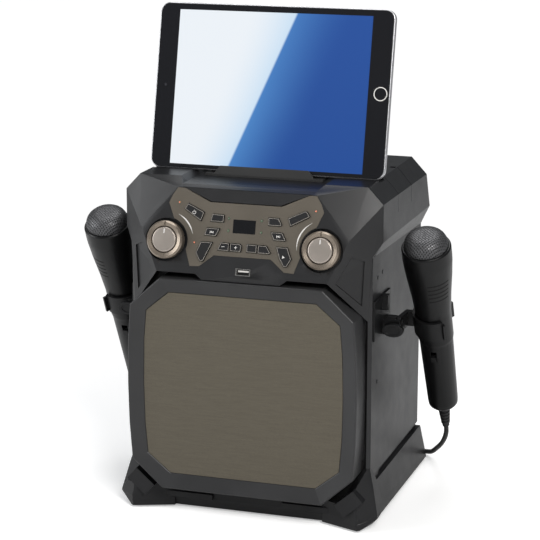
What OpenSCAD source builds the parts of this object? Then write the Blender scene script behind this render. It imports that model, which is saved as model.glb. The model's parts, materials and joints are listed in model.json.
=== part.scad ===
// Karaoke machine with a sliding disc tray, a tablet cradle and two clipped microphones

/* [Cabinet] */
// Width over the side panels
body_w = 244; // [236:1:250]
// Front edge of the side panels, measured back from the toes of the feet
body_front = 22; // [20:0.5:26]
// Depth of the side panels
body_d = 190; // [180:1:200]
// Thickness of the cabinet walls
wall = 3; // [2.4:0.1:3.6]
// Height of the cabinet floor
floor_z = 30; // [28:0.5:34]
// Height of the side panels' top edge, inside the head
body_top = 288; // [284:0.5:290]

/* [Base] */
// Width of the base at the table
base_w = 256; // [252:1:262]
// Rear edge of the base at the table
base_rear = 231; // [222:1:236]
// Height of the skirt at the sides
skirt_h = 42; // [38:0.5:46]
// Thickness of the rubber feet below the base
foot_h = 2; // [1.5:0.1:3]
// Radius of a rubber foot
foot_r = 9; // [6:0.5:12]
// Height of the horn that each front corner sends up to its pillar
horn_top = 58; // [52:0.5:64]

/* [Head] */
// Width of the head over its side faces
head_w = 260; // [254:1:266]
// Height of the head's top face
head_top = 334; // [332:0.5:337]
// Height where the head's side faces end
head_low = 281.5; // [278:0.5:284]
// Height where the bevel under the head meets the side panels
head_under = 268; // [265:0.5:271]
// Thickness of the head's walls
head_wall = 3; // [2.4:0.1:3.4]
// Y of the seam between the front bezel and the head shell
seam_y = 28.5; // [27:0.5:30]
// Height of the deck under the tablet, which is the roof of the tray bay
deck_z = 327; // [326.9:0.1:328]
// Thickness of that deck
deck_t = 2; // [1.6:0.1:2.4]

/* [Control slope] */
// Lean of the control slope from upright, in degrees
slope_lean = 14.1; // [12:0.1:16]
// Height of the slope's reference line
slope_z = 248.6; // [247:0.1:250]
// Y of the slope's reference line
slope_y = -7.3; // [-8:0.1:-6.5]
// Thickness of the tan fascia plate
fascia_t = 1.2; // [0.8:0.1:1.6]
// Gap round each button
button_gap = 0.35; // [0.25:0.05:0.5]
// How far the buttons stand out of the fascia
button_proud = 1.4; // [1:0.1:2]
// Travel of a button
button_travel = 0.8; // [0.5:0.1:1]
// Distance of the circuit board behind the slope
board_back = 11; // [10.5:0.1:12]

/* [Knobs] */
// Distance of each knob from the middle
knob_x = 78; // [76:0.5:80]
// Distance of the knobs up the slope
knob_s = 28.7; // [27:0.1:30]
// Radius of a knob's ring
knob_r = 18.2; // [16:0.1:19.5]
// Radius of a knob's cap
knob_cap_r = 12; // [10:0.1:13]
// Height of a knob above the slope
knob_h = 6.8; // [5:0.1:8]
// Radius of the well that a knob sits in
well_r = 21; // [20:0.1:22]
// Radius of a potentiometer spindle
spindle_r = 3; // [2.5:0.1:3.2]

/* [Speaker] */
// Y of the grille frame's front edge
frame_y = -11; // [-12:0.5:-10]
// Depth of the cloth behind the frame's front edge
cloth_back = 5.5; // [4:0.5:7]
// Height of the top of the grille frame
frame_top = 240.6; // [238:0.1:240.8]
// Height of the bottom of the grille frame
frame_bottom = 26.5; // [26:0.5:30]
// Y of the baffle that carries the woofer
baffle_y = 24; // [23:0.5:25]
// Height of the woofer's centre
woofer_z = 133; // [128:0.5:138]
// Radius of the woofer's flange
woofer_r = 82; // [76:0.5:86]
// Travel of the cone each way
cone_travel = 3; // [2:0.5:4]

/* [Disc tray] */
// Radius of a disc
disc_r = 60; // [59:0.1:60.2]
// Height of the disc's seat
seat_z = 324.6; // [324:0.1:324.8]
// Y of the disc's centre with the tray shut
disc_y = 82; // [81:0.5:84]
// Travel of the tray
tray_travel = 122; // [110:1:122]
// Gap between the tray and what it slides in
tray_gap = 0.8; // [0.6:0.1:1]
// Module of the tray's rack and pinion
gear_m = 1; // [1:0.01:1.02]
// Teeth on the pinion
gear_teeth = 20; // [19:1:21]
// Travel of the pickup sled
sled_travel = 34; // [28:1:36]
// Radius of the sled's guide rods
rod_r = 1.5; // [1.2:0.1:2]

/* [Tablet] */
// Width of the tablet
tablet_w = 240; // [225:1:245]
// Height of the tablet
tablet_h = 164; // [150:1:170]
// Thickness of the tablet
tablet_t = 7.5; // [6:0.1:8.5]
// Lean of the tablet from upright, in degrees
tablet_lean = 13.3; // [10:0.1:16]
// Y of the tablet's bottom front edge
tablet_y = 66; // [64:0.5:68]
// Width of the cradle's lip
lip_w = 90; // [80:1:100]
// Height of the cradle's back rest
rest_h = 96; // [80:1:110]

/* [Microphones] */
// Distance of each microphone's axis from the middle
mic_x = 164; // [162:0.5:170]
// Length of a microphone
mic_len = 219; // [210:1:232]
// Radius of a microphone's head
mic_head_r = 24; // [22:0.1:25]
// Radius of the handle where the clip holds it
mic_grip_r = 17.6; // [16.5:0.1:18.5]
// Lean of a microphone from upright, in degrees
mic_lean = 26; // [24:0.1:32]
// How far a microphone slides up in its clip
mic_lift = 40; // [30:1:45]
// Gap between a microphone and its clip
clip_gap = 0.4; // [0.3:0.05:0.6]
// Thickness of a clip's jaw
jaw_t = 2.6; // [2:0.1:3]
// Diameter of the microphone's cord
cord_d = 5; // [4.6:0.1:5.2]

/* [Hidden] */
$fn = 48;

// Everything is drawn from the toes of the feet, then moved so that the middle of the outline is at 0
mid_y = (base_rear + frame_y) / 2;
body_x = body_w / 2;
body_rear = body_front + body_d;
base_x = base_w / 2;
head_x = head_w / 2;
slit = 0.3;
black = [0.07, 0.07, 0.075];
charcoal = [0.16, 0.16, 0.165];
slate = [0.27, 0.27, 0.275];
tan_metal = [0.42, 0.38, 0.33];
silver = [0.68, 0.66, 0.63];
green = [0.1, 0.32, 0.16];

function mirrored(pts) = concat(pts, [for (i = [len(pts) - 1:-1:0]) [-pts[i][0], pts[i][1]]]);
function unit(v) = v / norm(v);

module at_origin() translate([0, -mid_y, 0]) children();
module on_slope() translate([0, slope_y, slope_z]) rotate([90 - slope_lean, 0, 0]) children();
module on_knob(side) on_slope() translate([side * knob_x, knob_s, 0]) children();
// Extrudes a front view, drawn in X and Z, from y0 back to y1
module front_slab(y0, y1) translate([0, y1, 0]) rotate([90, 0, 0]) linear_extrude(y1 - y0) children();
module block(lo, hi) translate(lo) cube(hi - lo);
module both_sides() {
    children();
    mirror([1, 0, 0]) children();
}

// Skins a list of closed rings of points, with a cap on each end
module skin(rings) {
    n = len(rings[0]);
    m = len(rings);
    polyhedron(points = [for (r = rings) for (p = r) p], faces = concat(
        [[for (i = [n - 1:-1:0]) i]],
        [for (k = [0:m - 2]) for (i = [0:n - 1]) [k * n + i, k * n + (i + 1) % n, (k + 1) * n + i]],
        [for (k = [0:m - 2]) for (i = [0:n - 1])
            [k * n + (i + 1) % n, (k + 1) * n + (i + 1) % n, (k + 1) * n + i]],
        [[for (i = [0:n - 1]) (m - 1) * n + i]]));
}

// Skins a list of closed rings whose last ring joins the first
module skin_ring(rings) {
    n = len(rings[0]);
    m = len(rings);
    polyhedron(points = [for (r = rings) for (p = r) p], faces = concat(
        [for (k = [0:m - 1]) for (i = [0:n - 1])
            [k * n + i, k * n + (i + 1) % n, ((k + 1) % m) * n + i]],
        [for (k = [0:m - 1]) for (i = [0:n - 1])
            [k * n + (i + 1) % n, ((k + 1) % m) * n + (i + 1) % n, ((k + 1) % m) * n + i]]));
}

// Head
slope_up = [0, sin(slope_lean), cos(slope_lean)];
function slope_point(x, s) = [x, slope_y, slope_z] + s * slope_up;
slope_top_s = (326.5 - slope_z) / cos(slope_lean);
head_rear = body_rear + 4;
function head_half(g) = [
    slope_point(70 - g, slope_top_s) + [0, g, -g],
    slope_point(104.5 - g, 40) + [0, g, 0],
    slope_point(85.5 - g, -2) + [0, g, g],
    [head_x - 15 - g, seam_y + g, head_top - g],
    [head_x - g, seam_y + g, head_top - 16],
    [head_x - g, seam_y + g, head_low],
    [body_x - g, body_front - 2 + g, head_under],
    [head_x - 15 - g, body_rear - 16 - g, head_top - g],
    [head_x - g, body_rear - 12 - g, head_top - 18],
    [head_x - g, head_rear - g, head_low - 1.5],
    [body_x - g, body_rear - g, head_under - 6]];
module head_hull(g) {
    half = head_half(g);
    pts = concat(half, [for (p = half) [-p[0], p[1], p[2]]]);
    hull() polyhedron(points = pts, faces = [[for (i = [0:len(pts) - 1]) i]]);
}
basin_x = 67;
basin_rear = tablet_y + 22;
tablet_z = deck_z + deck_t + 4.5;
trough_z = tablet_z - tablet_t * sin(tablet_lean) - slit;
module basin() {
    front_slab(-30, basin_rear) polygon(mirrored([[0, deck_z + deck_t],
        [basin_x, deck_z + deck_t], [basin_x + 7, head_top + 1], [0, head_top + 1]]));
}
module head_solid() {
    difference() {
        union() {
            difference() {
                head_hull(0);
                head_hull(head_wall);
            }
            intersection() {
                head_hull(0);
                union() {
                    block([-basin_x - 10, -30, deck_z], [basin_x + 10, basin_rear + 3, head_top]);
                    block([-head_x, tablet_y - 8, trough_z - head_wall], [head_x, tablet_y + 18, head_top]);
                }
            }
        }
        basin();
        // Trough that the tablet's lower edge stands in
        block([-head_x, tablet_y - 3, trough_z], [head_x, tablet_y + 13, head_top + 1]);
        // Room for the cabinet's walls and what they hold
        block([-body_x, body_front, 150], [body_x, body_rear, body_top]);
    }
}

// Speaker frame outlines, as half front views from the bottom middle round to the top middle
frame_x = 113;
frame_bulge = 3.5;
function frame_half(g) = [
    [82 - g * 0.5, frame_bottom + g], [frame_x - g, frame_bottom + 28 + g * 0.4],
    [frame_x + frame_bulge * 0.75 - g, frame_bottom + 65], [frame_x + frame_bulge - g, frame_bottom + 107],
    [frame_x + frame_bulge * 0.75 - g, frame_top - 65], [frame_x - g, frame_top - 28.5 - g * 0.4],
    [82 - g * 0.5, frame_top - g]];
function frame_ring(g, y) = [for (p = mirrored(frame_half(g))) [p[0], y, p[1]]];
frame_face = 15;

// Disc tray: the slot is a trapezoid with its wide side up, and the tray runs through it
slot_top = [64.6, deck_z - 0.3];
slot_low = [35.8, 314];
function slot_half(g) = [[slot_low[0] - g * 1.6, slot_low[1] + g], [slot_top[0] - g * 1.6, slot_top[1] - g * 0.4]];
function slot_width(z, g) = slot_low[0] - g * 1.6
    + (slot_top[0] - slot_low[0]) * (z - slot_low[1]) / (slot_top[1] - slot_low[1]);
tray_front_y = 18;
tray_rear_y = disc_y + disc_r + 10;
tray_t = 2;
gear_r = gear_m * gear_teeth / 2;
gear_pitch = PI * gear_m;
gear_y = 26;
rack_x = -30;
gear_x = rack_x + gear_r;
gear_z0 = 316.4;
gear_z1 = 320.8;

// Outlines of the fascia and of the buttons, as distance from the middle and distance up the slope
fascia_half = [[28.5, 16.8], [42.5, 5.4], [52.3, 5], [57.5, 20.5], [72.8, 52.8], [77.8, 64.7],
    [74.8, 71.8], [69.8, 79.8]];
button_outlines = [
    [[-57.6, 65.5], [-61.6, 59.5], [-43.5, 48.3], [-40.2, 57.6]],
    [[-32.6, 56.8], [-34.5, 48.8], [-20.4, 48.6], [-20.2, 56.5]],
    [[-37.5, 43.2], [-39.9, 35.4], [-27.3, 34.8], [-23.4, 43.2]],
    [[-42.5, 29.6], [-47.1, 18], [-42.4, 10.3], [-38.4, 10.3], [-29.8, 29.6]],
    [[-22.3, 30], [-25.7, 21.8], [-13.2, 21.6], [-13.2, 29.9]],
    [[-12.8, 29.9], [-12.8, 21.6], [-1.2, 21.6], [-0.7, 28], [-2.8, 29.9]],
    [[3.6, 30.1], [4, 21.7], [14.7, 21.7], [14.7, 30]],
    [[15.1, 30], [15.1, 21.5], [27.2, 21.5], [28.5, 23], [24, 29.8]],
    [[23.3, 56.8], [23.8, 48.6], [36.3, 48.5], [37.7, 50.5], [34.2, 56.7]],
    [[26.4, 43.3], [30, 35], [41.4, 34.8], [42.8, 36], [38.8, 43.2]],
    [[32.9, 29.6], [36.8, 18.4], [41.9, 10.3], [45.3, 10.6], [49.6, 18.4], [44.8, 29.6]],
    [[42.5, 57.1], [45.8, 49], [64, 58.8], [64.8, 60.3], [61.6, 64.6], [59.6, 65.2]]];
function centre(pts) = [for (k = [0, 1]) [for (p = pts) p[k]] * [for (p = pts) 1 / len(pts)]];
// Moves each edge of a convex outline inwards by d, for outlines that run anticlockwise
function inset(pts, d) = let(n = len(pts)) [for (i = [0:n - 1]) let(
    a = pts[(i + n - 1) % n], b = pts[i], c = pts[(i + 1) % n],
    u = unit(b - a), v = unit(c - b), nu = [-u[1], u[0]], nv = [-v[1], v[0]],
    m = nu + nv) b + m * d / (1 + nu * nv)];
display_x = 11.2;
display_s = [39.5, 52.5];
usb_x = 2;
usb_s = 2.7;
led_spots = [[-67, 65.5], [-49.1, 28], [69.7, 65.4], [-16, 53], [-16, 41.5], [17, 53], [17, 41.5]];
led_r = 1.1;
spindle_gap = 0.05;

// Microphones: local z runs up the axis from the tail
mic_tail_y = 150;
mic_tail_z = 90;
mic_rim = mic_len - 14;
clip_at = 112;
clip_h = 22;
module on_mic(side) translate([side * mic_x, mic_tail_y, mic_tail_z]) rotate([mic_lean, 0, 0]) children();
mic_axis = [0, -sin(mic_lean), cos(mic_lean)];
clip_point = [mic_x, mic_tail_y, mic_tail_z] + clip_at * mic_axis;
pivot = [0, 72, 192];
pivot_r = 3;
boss_x = body_x + 12;
ear_x = boss_x + 0.5;

// Cabinet
module cabinet_body() at_origin() color(charcoal) {
    cabinet_walls();
    // Bosses that the rear panel is screwed to
    for (p = rear_screws) translate([p[0], rear_in[1], p[1]]) difference() {
        translate([p[0] > 0 ? -6 : wall - 14, -12, -6]) cube([20 - wall, 12, 12]);
        rotate([90, 0, 0]) cylinder(r = screw_r + 0.1, h = 30, center = true, $fn = 24);
    }
}
screw_r = 1.5;
module cabinet_walls() difference() {
    block([-body_x, body_front, floor_z], [body_x, body_rear, body_top]);
    // Open to the front, the rear and the head
    block([-body_x + wall, body_front - 1, floor_z + wall], [body_x - wall, body_rear + 1, body_top + 1]);
    // The floor starts behind the speaker frame
    block([-body_x + wall, body_front - 1, floor_z - 1], [body_x - wall, baffle_y, floor_z + wall + 1]);
    // Shadow gap over the skirt
    both_sides() block([body_x - 2, body_front + 30, skirt_h], [body_x + 1, body_rear + 1, skirt_h + 5]);
    for (p = side_screws) translate([0, p[0], p[1]]) rotate([0, 90, 0])
        cylinder(r = screw_r + 0.1, h = body_w + 2, center = true, $fn = 24);
}

side_screws = [[59, 246], [42, 244], [43, 140]];
rear_t = 3;
jack_x = [-70, -44];
jack_z = 225;
jack_r = 3.25;
rca_x = [10, 28, 46];
inlet_x = 84;
rear_in = [body_x - wall, body_rear - rear_t];
module rear_panel() at_origin() color(black) difference() {
    block([-rear_in[0], rear_in[1], floor_z + wall], [rear_in[0], body_rear, head_under - 8]);
    for (x = jack_x) translate([x, 0, jack_z]) rotate([-90, 0, 0]) cylinder(r = 6.1, h = 400);
    for (x = rca_x) translate([x, 0, jack_z]) rotate([-90, 0, 0]) cylinder(r = 5.1, h = 400);
    translate([inlet_x, 0, jack_z]) rotate([-90, 0, 0]) cylinder(r = 5.1, h = 400);
    // Vents behind the woofer
    for (i = [-4:4]) block([-30, rear_in[1] - 1, 130 + i * 8 - 1.5], [30, body_rear + 1, 130 + i * 8 + 1.5]);
    for (p = rear_screws) translate([p[0], 0, p[1]]) rotate([-90, 0, 0]) cylinder(r = 1.6, h = 400, $fn = 24);
}
rear_screws = [for (x = [-1, 1]) for (z = [54, 148, 250]) [x * (body_x - 14), z]];

toe = [115, -3, foot_h];
skirt_in = 3.5;
skirt_lean = 16;
skirt_x = base_x - skirt_in;
// Raised outer corner of each front foot, where the skirt's lower edge starts
corner = [base_x + 5, 10.3, 13.2];
skirt_end = [base_x, base_rear, foot_h + 0.6];
function to_end(y) = corner + (skirt_end - corner) * (y - corner[1]) / (skirt_end[1] - corner[1]);
base_rings = [[[toe[0] - 2, 0.5, skirt_h], [skirt_x - 3.5, 21, skirt_h], [skirt_x, 27, skirt_h],
        [skirt_x, base_rear - skirt_lean, skirt_h]],
    [toe + [1.5, -0.5, 6], corner, to_end(45), skirt_end],
    [toe, [base_x - 5.5, 22, foot_h], [base_x - 4, 45, foot_h], [base_x - 0.5, base_rear - 0.5, foot_h]]];
function whole_ring(half) = concat(half, [for (i = [len(half) - 1:-1:0]) [-half[i][0], half[i][1], half[i][2]]]);
block_mid = [107, 28.4];
arch_x = 76.5;
arch_y = 11.5;
module base_plinth() at_origin() color(charcoal) {
    difference() {
        union() {
            difference() {
                skin([for (half = base_rings) whole_ring(half)]);
                // Lower at the front, under the speaker frame, with its middle set back
                block([-base_x - 9, -30, frame_bottom - 1.5], [base_x + 9, body_front + 8, 60]);
                linear_extrude(60) polygon(mirrored([[0, -30], [toe[0], -30], [toe[0], toe[1]], [arch_x, arch_y],
                    [0, arch_y]]));
                // Undercut below the rails
                translate([-arch_x, arch_y, 12]) rotate([17, 0, 0]) translate([0, -30, -30]) cube([2 * arch_x, 30, 30]);
            }
            // Rails under the speaker frame
            both_sides() block([36, arch_y - 3, 12], [84, arch_y + 2, 17.5]);
            both_sides() horn();
        }
        // The cabinet drops into the skirt, and the hollow below its floor is open
        block([-body_x, body_front, floor_z], [body_x, body_rear, 60]);
        difference() {
            block([-base_x + 12, body_front + 6, 0], [base_x - 12, base_rear - 16, floor_z + 1]);
            // Pads over the feet
            for (p = foot_spots) block([p[0] - 11, p[1] - 11, 0], [p[0] + 11, p[1] + 11, foot_h + 9]);
        }
        for (p = foot_spots) translate([p[0], p[1], -1]) cylinder(r = 1.8, h = 10, $fn = 24);
    }
    // Blocks under the chamfers of the speaker frame
    both_sides() difference() {
        corner_block(12.5, 0, 14, 7.5);
        front_slab(frame_y - 2, body_front + 3) polygon([for (p = frame_ring(-1.2, 0)) [p[0], p[2]]]);
    }
}
foot_spots = [for (x = [-1, 1]) for (y = [39, base_rear - 14]) [x * (base_x - 14), y]];
module corner_block(l, y0, y1, top) translate([block_mid[0], toe[1] - 0.5, block_mid[1]]) rotate([0, -41, 0])
    translate([-l, y0, -7.5]) cube([2 * l, y1 - y0, top + 7.5]);
module horn() difference() {
    hull() {
        translate([0, 0, foot_h - 2]) linear_extrude(1)
            polygon([[90, 13], [toe[0] + 0.4, toe[1] - 0.3], [base_x - 5, 22.4], [base_x - 3.6, 40], [100, 40]]);
        translate([0, 0, foot_h + 10]) linear_extrude(1.2)
            polygon([[94, 14], [toe[0] + 1.4, toe[1] - 0.3], [corner[0], corner[1] - 0.2], [base_x + 4, 38], [100, 34]]);
        translate([0, 0, 40.6]) linear_extrude(1)
            polygon([[106, 16], [112, 5], [base_x - 1.8, 17.6], [base_x - 2, 34], [106, 34]]);
        translate([0, 0, horn_top - 1]) linear_extrude(1)
            polygon([[116, body_front - 1], [body_x - 2.4, body_front - 3.4],
                [body_x - 0.4, body_front - 0.4], [body_x - 0.4, body_front + 4], [116, body_front + 4]]);
    }
    // Clear of the speaker frame, with a pocket round the block, and cut off at the feet
    front_slab(frame_y - 2, body_front + 3) polygon([for (p = frame_ring(-1.2, 0)) [p[0], p[2]]]);
    corner_block(14.5, -12, 6, 10);
    block([60, -20, -1], [160, 60, foot_h]);
}

module rubber_feet() at_origin() color(black) for (p = foot_spots) translate([p[0], p[1], 0]) {
    cylinder(r = foot_r, h = foot_h);
    cylinder(r = 1.7, h = foot_h + 5, $fn = 24);
}

// Front bezel: the slope, its facets, the pillars and the baffle
module slope_cut(z0, z1) on_slope() translate([0, 0, z0]) linear_extrude(z1 - z0) children();
bezel_t = head_wall;
module bezel_openings() {
    slope_cut(-fascia_t - 0.1, 6) polygon(mirrored(fascia_half));
    for (o = button_outlines) slope_cut(-12, 6) polygon(o);
    slope_cut(-12, 6) polygon([[-display_x - 0.4, display_s[0] - 0.4], [display_x + 0.4, display_s[0] - 0.4],
        [display_x + 0.4, display_s[1] + 0.4], [-display_x - 0.4, display_s[1] + 0.4]]);
    slope_cut(-20, 6) translate([usb_x, usb_s]) square([15.8, 7.8], center = true);
    for (p = led_spots) on_slope() translate([p[0], p[1], -12]) cylinder(r = led_r + 0.3, h = 18, $fn = 24);
    // The tray's way out
    front_slab(-60, seam_y + 1) polygon(mirrored(concat([[0, slot_low[1]]], slot_half(0), [[0, slot_top[1]]])));
    for (side = [-1, 1]) on_knob(side) {
        translate([0, 0, -5]) cylinder(r = well_r, h = 30);
        translate([0, 0, -20]) cylinder(r = spindle_r + 0.5, h = 40);
    }
}
module front_bezel() at_origin() color(charcoal) {
    difference() {
        union() {
            intersection() {
                head_solid();
                block([-200, -60, 200], [200, seam_y - slit / 2, 400]);
            }
            // Tongue below the fascia, round the USB socket
            slope_cut(-bezel_t, 0) polygon(mirrored([[39.5, -7.2], [48, -0.4], [46, 3]]));
            both_sides() difference() {
                cheek_plate(0, 4);
                front_slab(-60, baffle_y) polygon([for (p = frame_ring(-0.8, 0)) [p[0], p[2]]]);
                block([0, body_front, 100], [body_x + 1, 60, 300]);
            }
            // Wells of the knobs
            intersection() {
                for (side = [-1, 1]) on_knob(side) translate([0, 0, -8]) cylinder(r = well_r + 2.5, h = 8 - fascia_t);
                head_hull(0);
            }
        }
        bezel_openings();
        both_sides() cheek_prism(-30, 0);
    }
    both_sides() intersection() {
        cheek_plate(2, 2.4);
        cheek_prism(-30, 0.3);
    }
    // Posts that the control board is fixed to
    for (p = [[-56, 40], [56, 40], [-20, 14.5], [20, 14.5], [0, 34.7]]) on_slope()
        translate([p[0], p[1], -board_back]) cylinder(r = 2.5, h = board_back - 2, $fn = 24);
    difference() {
        union() {
            // Baffle behind the speaker frame, with a rim that joins the underside of the head
            block([-body_x + wall, baffle_y, horn_top - 22], [body_x - wall, baffle_y + 3, head_under - 8]);
            block([-84, -4, slope_z], [84, baffle_y + 1, slope_z + 3]);
            both_sides() pillar();
        }
        translate([0, baffle_y + 4, woofer_z]) rotate([90, 0, 0]) cylinder(r = woofer_r - 9, h = 5, $fn = 96);
        slope_cut(-20, 6) translate([usb_x, usb_s]) square([15.8, 7.8], center = true);
    }
}
// Cheeks beside the speaker frame's upper corners, each with a sunk panel
pillar_in = 3.4;
cheek_low = slope_point(85.5, -2);
cheek_out = [body_x, body_front - 2, head_under];
cheek_end = [body_x - pillar_in, body_front - pillar_in, 206];
cheek_panel = [[105.5, 271], [92.4, 245.4], [113.8, 221.7], [115.8, 265.3]];
module cheek_plate(y, t) for (ring = [[cheek_low, cheek_end, cheek_out], [cheek_low, cheek_out, slope_point(104.5, 40)]])
    skin([for (d = [y, y + t]) [for (p = ring) p + [0, d, 0]]]);
module cheek_prism(y0, g) front_slab(y0, body_front + 1) offset(delta = g) polygon(cheek_panel);
module pillar() {
    translate([0, 0, horn_top]) linear_extrude(head_under - 5 - horn_top)
        polygon([[body_x, body_front], [body_x - pillar_in, body_front - pillar_in],
            [body_x - pillar_in - 2, body_front - 1], [body_x - wall - 2.5, baffle_y + 1],
            [body_x - wall, baffle_y + 1], [body_x - wall, body_front]]);
}

module head_shell() at_origin() color(charcoal) difference() {
    intersection() {
        head_solid();
        block([-200, seam_y + slit / 2, 200], [200, 400, 400]);
    }
    // Seam lines of the band over the head, and the slits at their inner ends
    both_sides() for (y = [85, 136]) {
        block([head_x - 15.5, y, head_top - 34], [head_x + 1, y + 0.8, head_top + 1]);
        block([head_x - 22, y - 5, head_top - 4], [head_x - 16, y + 1, head_top + 1]);
    }
}

// Cradle that the tablet stands in
rest_gap = 0.5;
rib_h = 50;
function rest_back(z) = tablet_y + (tablet_t + rest_gap + 2.5) / cos(tablet_lean) + (z - tablet_z) * tan(tablet_lean);
module on_tablet() translate([0, tablet_y, tablet_z]) rotate([-tablet_lean, 0, 0]) children();
module tablet_cradle() at_origin() color(slate) {
    // Trough floor, under the tablet's bottom edge
    block([-60, tablet_y - 4, deck_z + deck_t], [60, tablet_y + 17, trough_z]);
    // Lip in front of it
    on_tablet() translate([0, -slit, 0]) rotate([90, 0, 0]) linear_extrude(3)
        polygon(mirrored([[0, -4], [lip_w / 2 + 7, -4], [lip_w / 2, 5], [0, 5]]));
    // Back rest with its two ribs
    on_tablet() translate([0, tablet_t + rest_gap + 3, 0]) rotate([90, 0, 0]) linear_extrude(3)
        difference() {
            polygon(mirrored([[0, -1], [58, -1], [50, rest_h], [0, rest_h]]));
            polygon(mirrored([[0, 26], [30, 26], [26, rest_h - 18], [0, rest_h - 18]]));
        }
    both_sides() translate([42, 0, 0]) rotate([90, 0, 90]) linear_extrude(4)
        polygon([[rest_back(head_top + 0.2), head_top + 0.2], [rest_back(head_top + rib_h), head_top + rib_h],
            [rest_back(head_top + rib_h) + 8, head_top + rib_h], [rest_back(head_top) + 34, head_top + 0.2]]);
}

// What shows on the slope
module control_fascia() at_origin() color(tan_metal) difference() {
    slope_cut(-fascia_t, 0) polygon(inset(mirrored(fascia_half), 0.15));
    for (o = button_outlines) slope_cut(-12, 6) polygon(o);
    slope_cut(-12, 6) polygon([[-display_x, display_s[0]], [display_x, display_s[0]],
        [display_x, display_s[1]], [-display_x, display_s[1]]]);
    for (p = led_spots) on_slope() translate([p[0], p[1], -12]) cylinder(r = led_r + 0.15, h = 18, $fn = 24);
    for (side = [-1, 1]) on_knob(side) translate([0, 0, -9]) cylinder(r = well_r + 1, h = 30);
    front_slab(-60, seam_y + 1) polygon(mirrored(concat([[0, slot_low[1]]], slot_half(0), [[0, slot_top[1]]])));
}

module usb_socket() at_origin() on_slope() translate([usb_x, usb_s, 0]) {
    color(silver) difference() {
        translate([-7.5, -3.5, -14]) cube([15, 7, 14.4]);
        translate([-6.25, -2.6, -13]) cube([12.5, 5.2, 15]);
    }
    color("white") translate([-5.6, 0.1, -13.5]) cube([11.2, 1.8, 12]);
}

module display_window() at_origin() on_slope() color(black)
    translate([-display_x, display_s[0], -2.2]) cube([2 * display_x, display_s[1] - display_s[0], 2.4]);

module control_board() at_origin() on_slope() {
    color(green) difference() {
        translate([-90, 12, -board_back - 1.6]) cube([180, 55, 1.6]);
        for (side = [-1, 1]) translate([side * knob_x, knob_s, -30])
            cylinder(r = spindle_r + spindle_gap, h = 30);
        // Corner notches that clear the facets of the head
        both_sides() linear_extrude(60, center = true) polygon([[91, 40], [91, 68], [73, 68]]);
    }
    // One switch under each button
    color(black) for (o = button_outlines) translate([centre(o)[0], max(centre(o)[1], 15.2), -board_back])
        translate([-3, -3, 0]) cube([6, 6, board_back - 5 - button_travel - 0.3]);
    // Potentiometers with bores for the knobs' spindles
    color(silver) for (side = [-1, 1]) translate([side * knob_x, knob_s, 0]) difference() {
        union() {
            translate([0, 0, -board_back - 1.6 - 9]) cylinder(r = 8.5, h = 9);
            translate([0, 0, -board_back]) cylinder(r = 4.5, h = board_back - 8);
        }
        translate([0, 0, -board_back - 1.6 - 7]) cylinder(r = spindle_r + spindle_gap, h = 20);
    }
    // Lamps that reach through the fascia
    color("white") for (p = led_spots)
        translate([p[0], p[1], -board_back]) cylinder(r = led_r, h = board_back + 0.3, $fn = 24);
}

module knob(side) at_origin() on_knob(side) color(silver) {
    difference() {
        rotate_extrude() polygon([[0, -3], [knob_r - 0.6, -3], [knob_r, -2.4], [knob_r, knob_h - 2],
            [knob_r - 1.6, knob_h], [knob_cap_r + 1.2, knob_h - 1], [knob_cap_r + 1.2, knob_h - 5],
            [0, knob_h - 5]]);
        // Pointer notch
        translate([-0.6, knob_r - 4.5, knob_h - 2]) cube([1.2, 4, 4]);
    }
    // Spindle down into its potentiometer
    translate([0, 0, -board_back - 1.6 - 6]) cylinder(r = spindle_r, h = board_back + 1.6 + 6 - 2);
}
module knob_left() knob(-1);
module knob_right() knob(1);
module knob_cap(side) at_origin() on_knob(side) color(silver) rotate_extrude()
    polygon([[0, knob_h - 5], [knob_cap_r - 0.4, knob_h - 5], [knob_cap_r, knob_h - 4.6],
        [knob_cap_r, knob_h - 0.6], [knob_cap_r - 1, knob_h + 0.2], [0, knob_h + 0.8]]);
module knob_cap_left() knob_cap(-1);
module knob_cap_right() knob_cap(1);

// Buttons stand through the fascia and rest just above their switches
module button(i) at_origin() slope_cut(-5, button_proud) color(slate)
    polygon(inset(button_outlines[i], button_gap));
module button_power() button(0);
module button_mode() button(1);
module button_previous() button(2);
module button_echo() button(3);
module button_minus() button(4);
module button_plus() button(5);
module button_mute() button(6);
module button_repeat() button(7);
module button_program() button(8);
module button_next() button(9);
module button_play() button(10);
module button_tray() button(11);

// Speaker
module grille_frame() at_origin() color(charcoal) skin_ring([
    frame_ring(4, baffle_y), frame_ring(4, frame_y + cloth_back + 6), frame_ring(frame_face, frame_y + cloth_back + 3),
    frame_ring(frame_face, frame_y + cloth_back), frame_ring(1, frame_y), frame_ring(0, frame_y + 1.6),
    frame_ring(0, baffle_y)]);

module grille_cloth() at_origin() color(tan_metal) skin([
    frame_ring(frame_face + 0.3, frame_y + cloth_back + 0.4),
    frame_ring(frame_face + 0.3, frame_y + cloth_back + 2)]);

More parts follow.
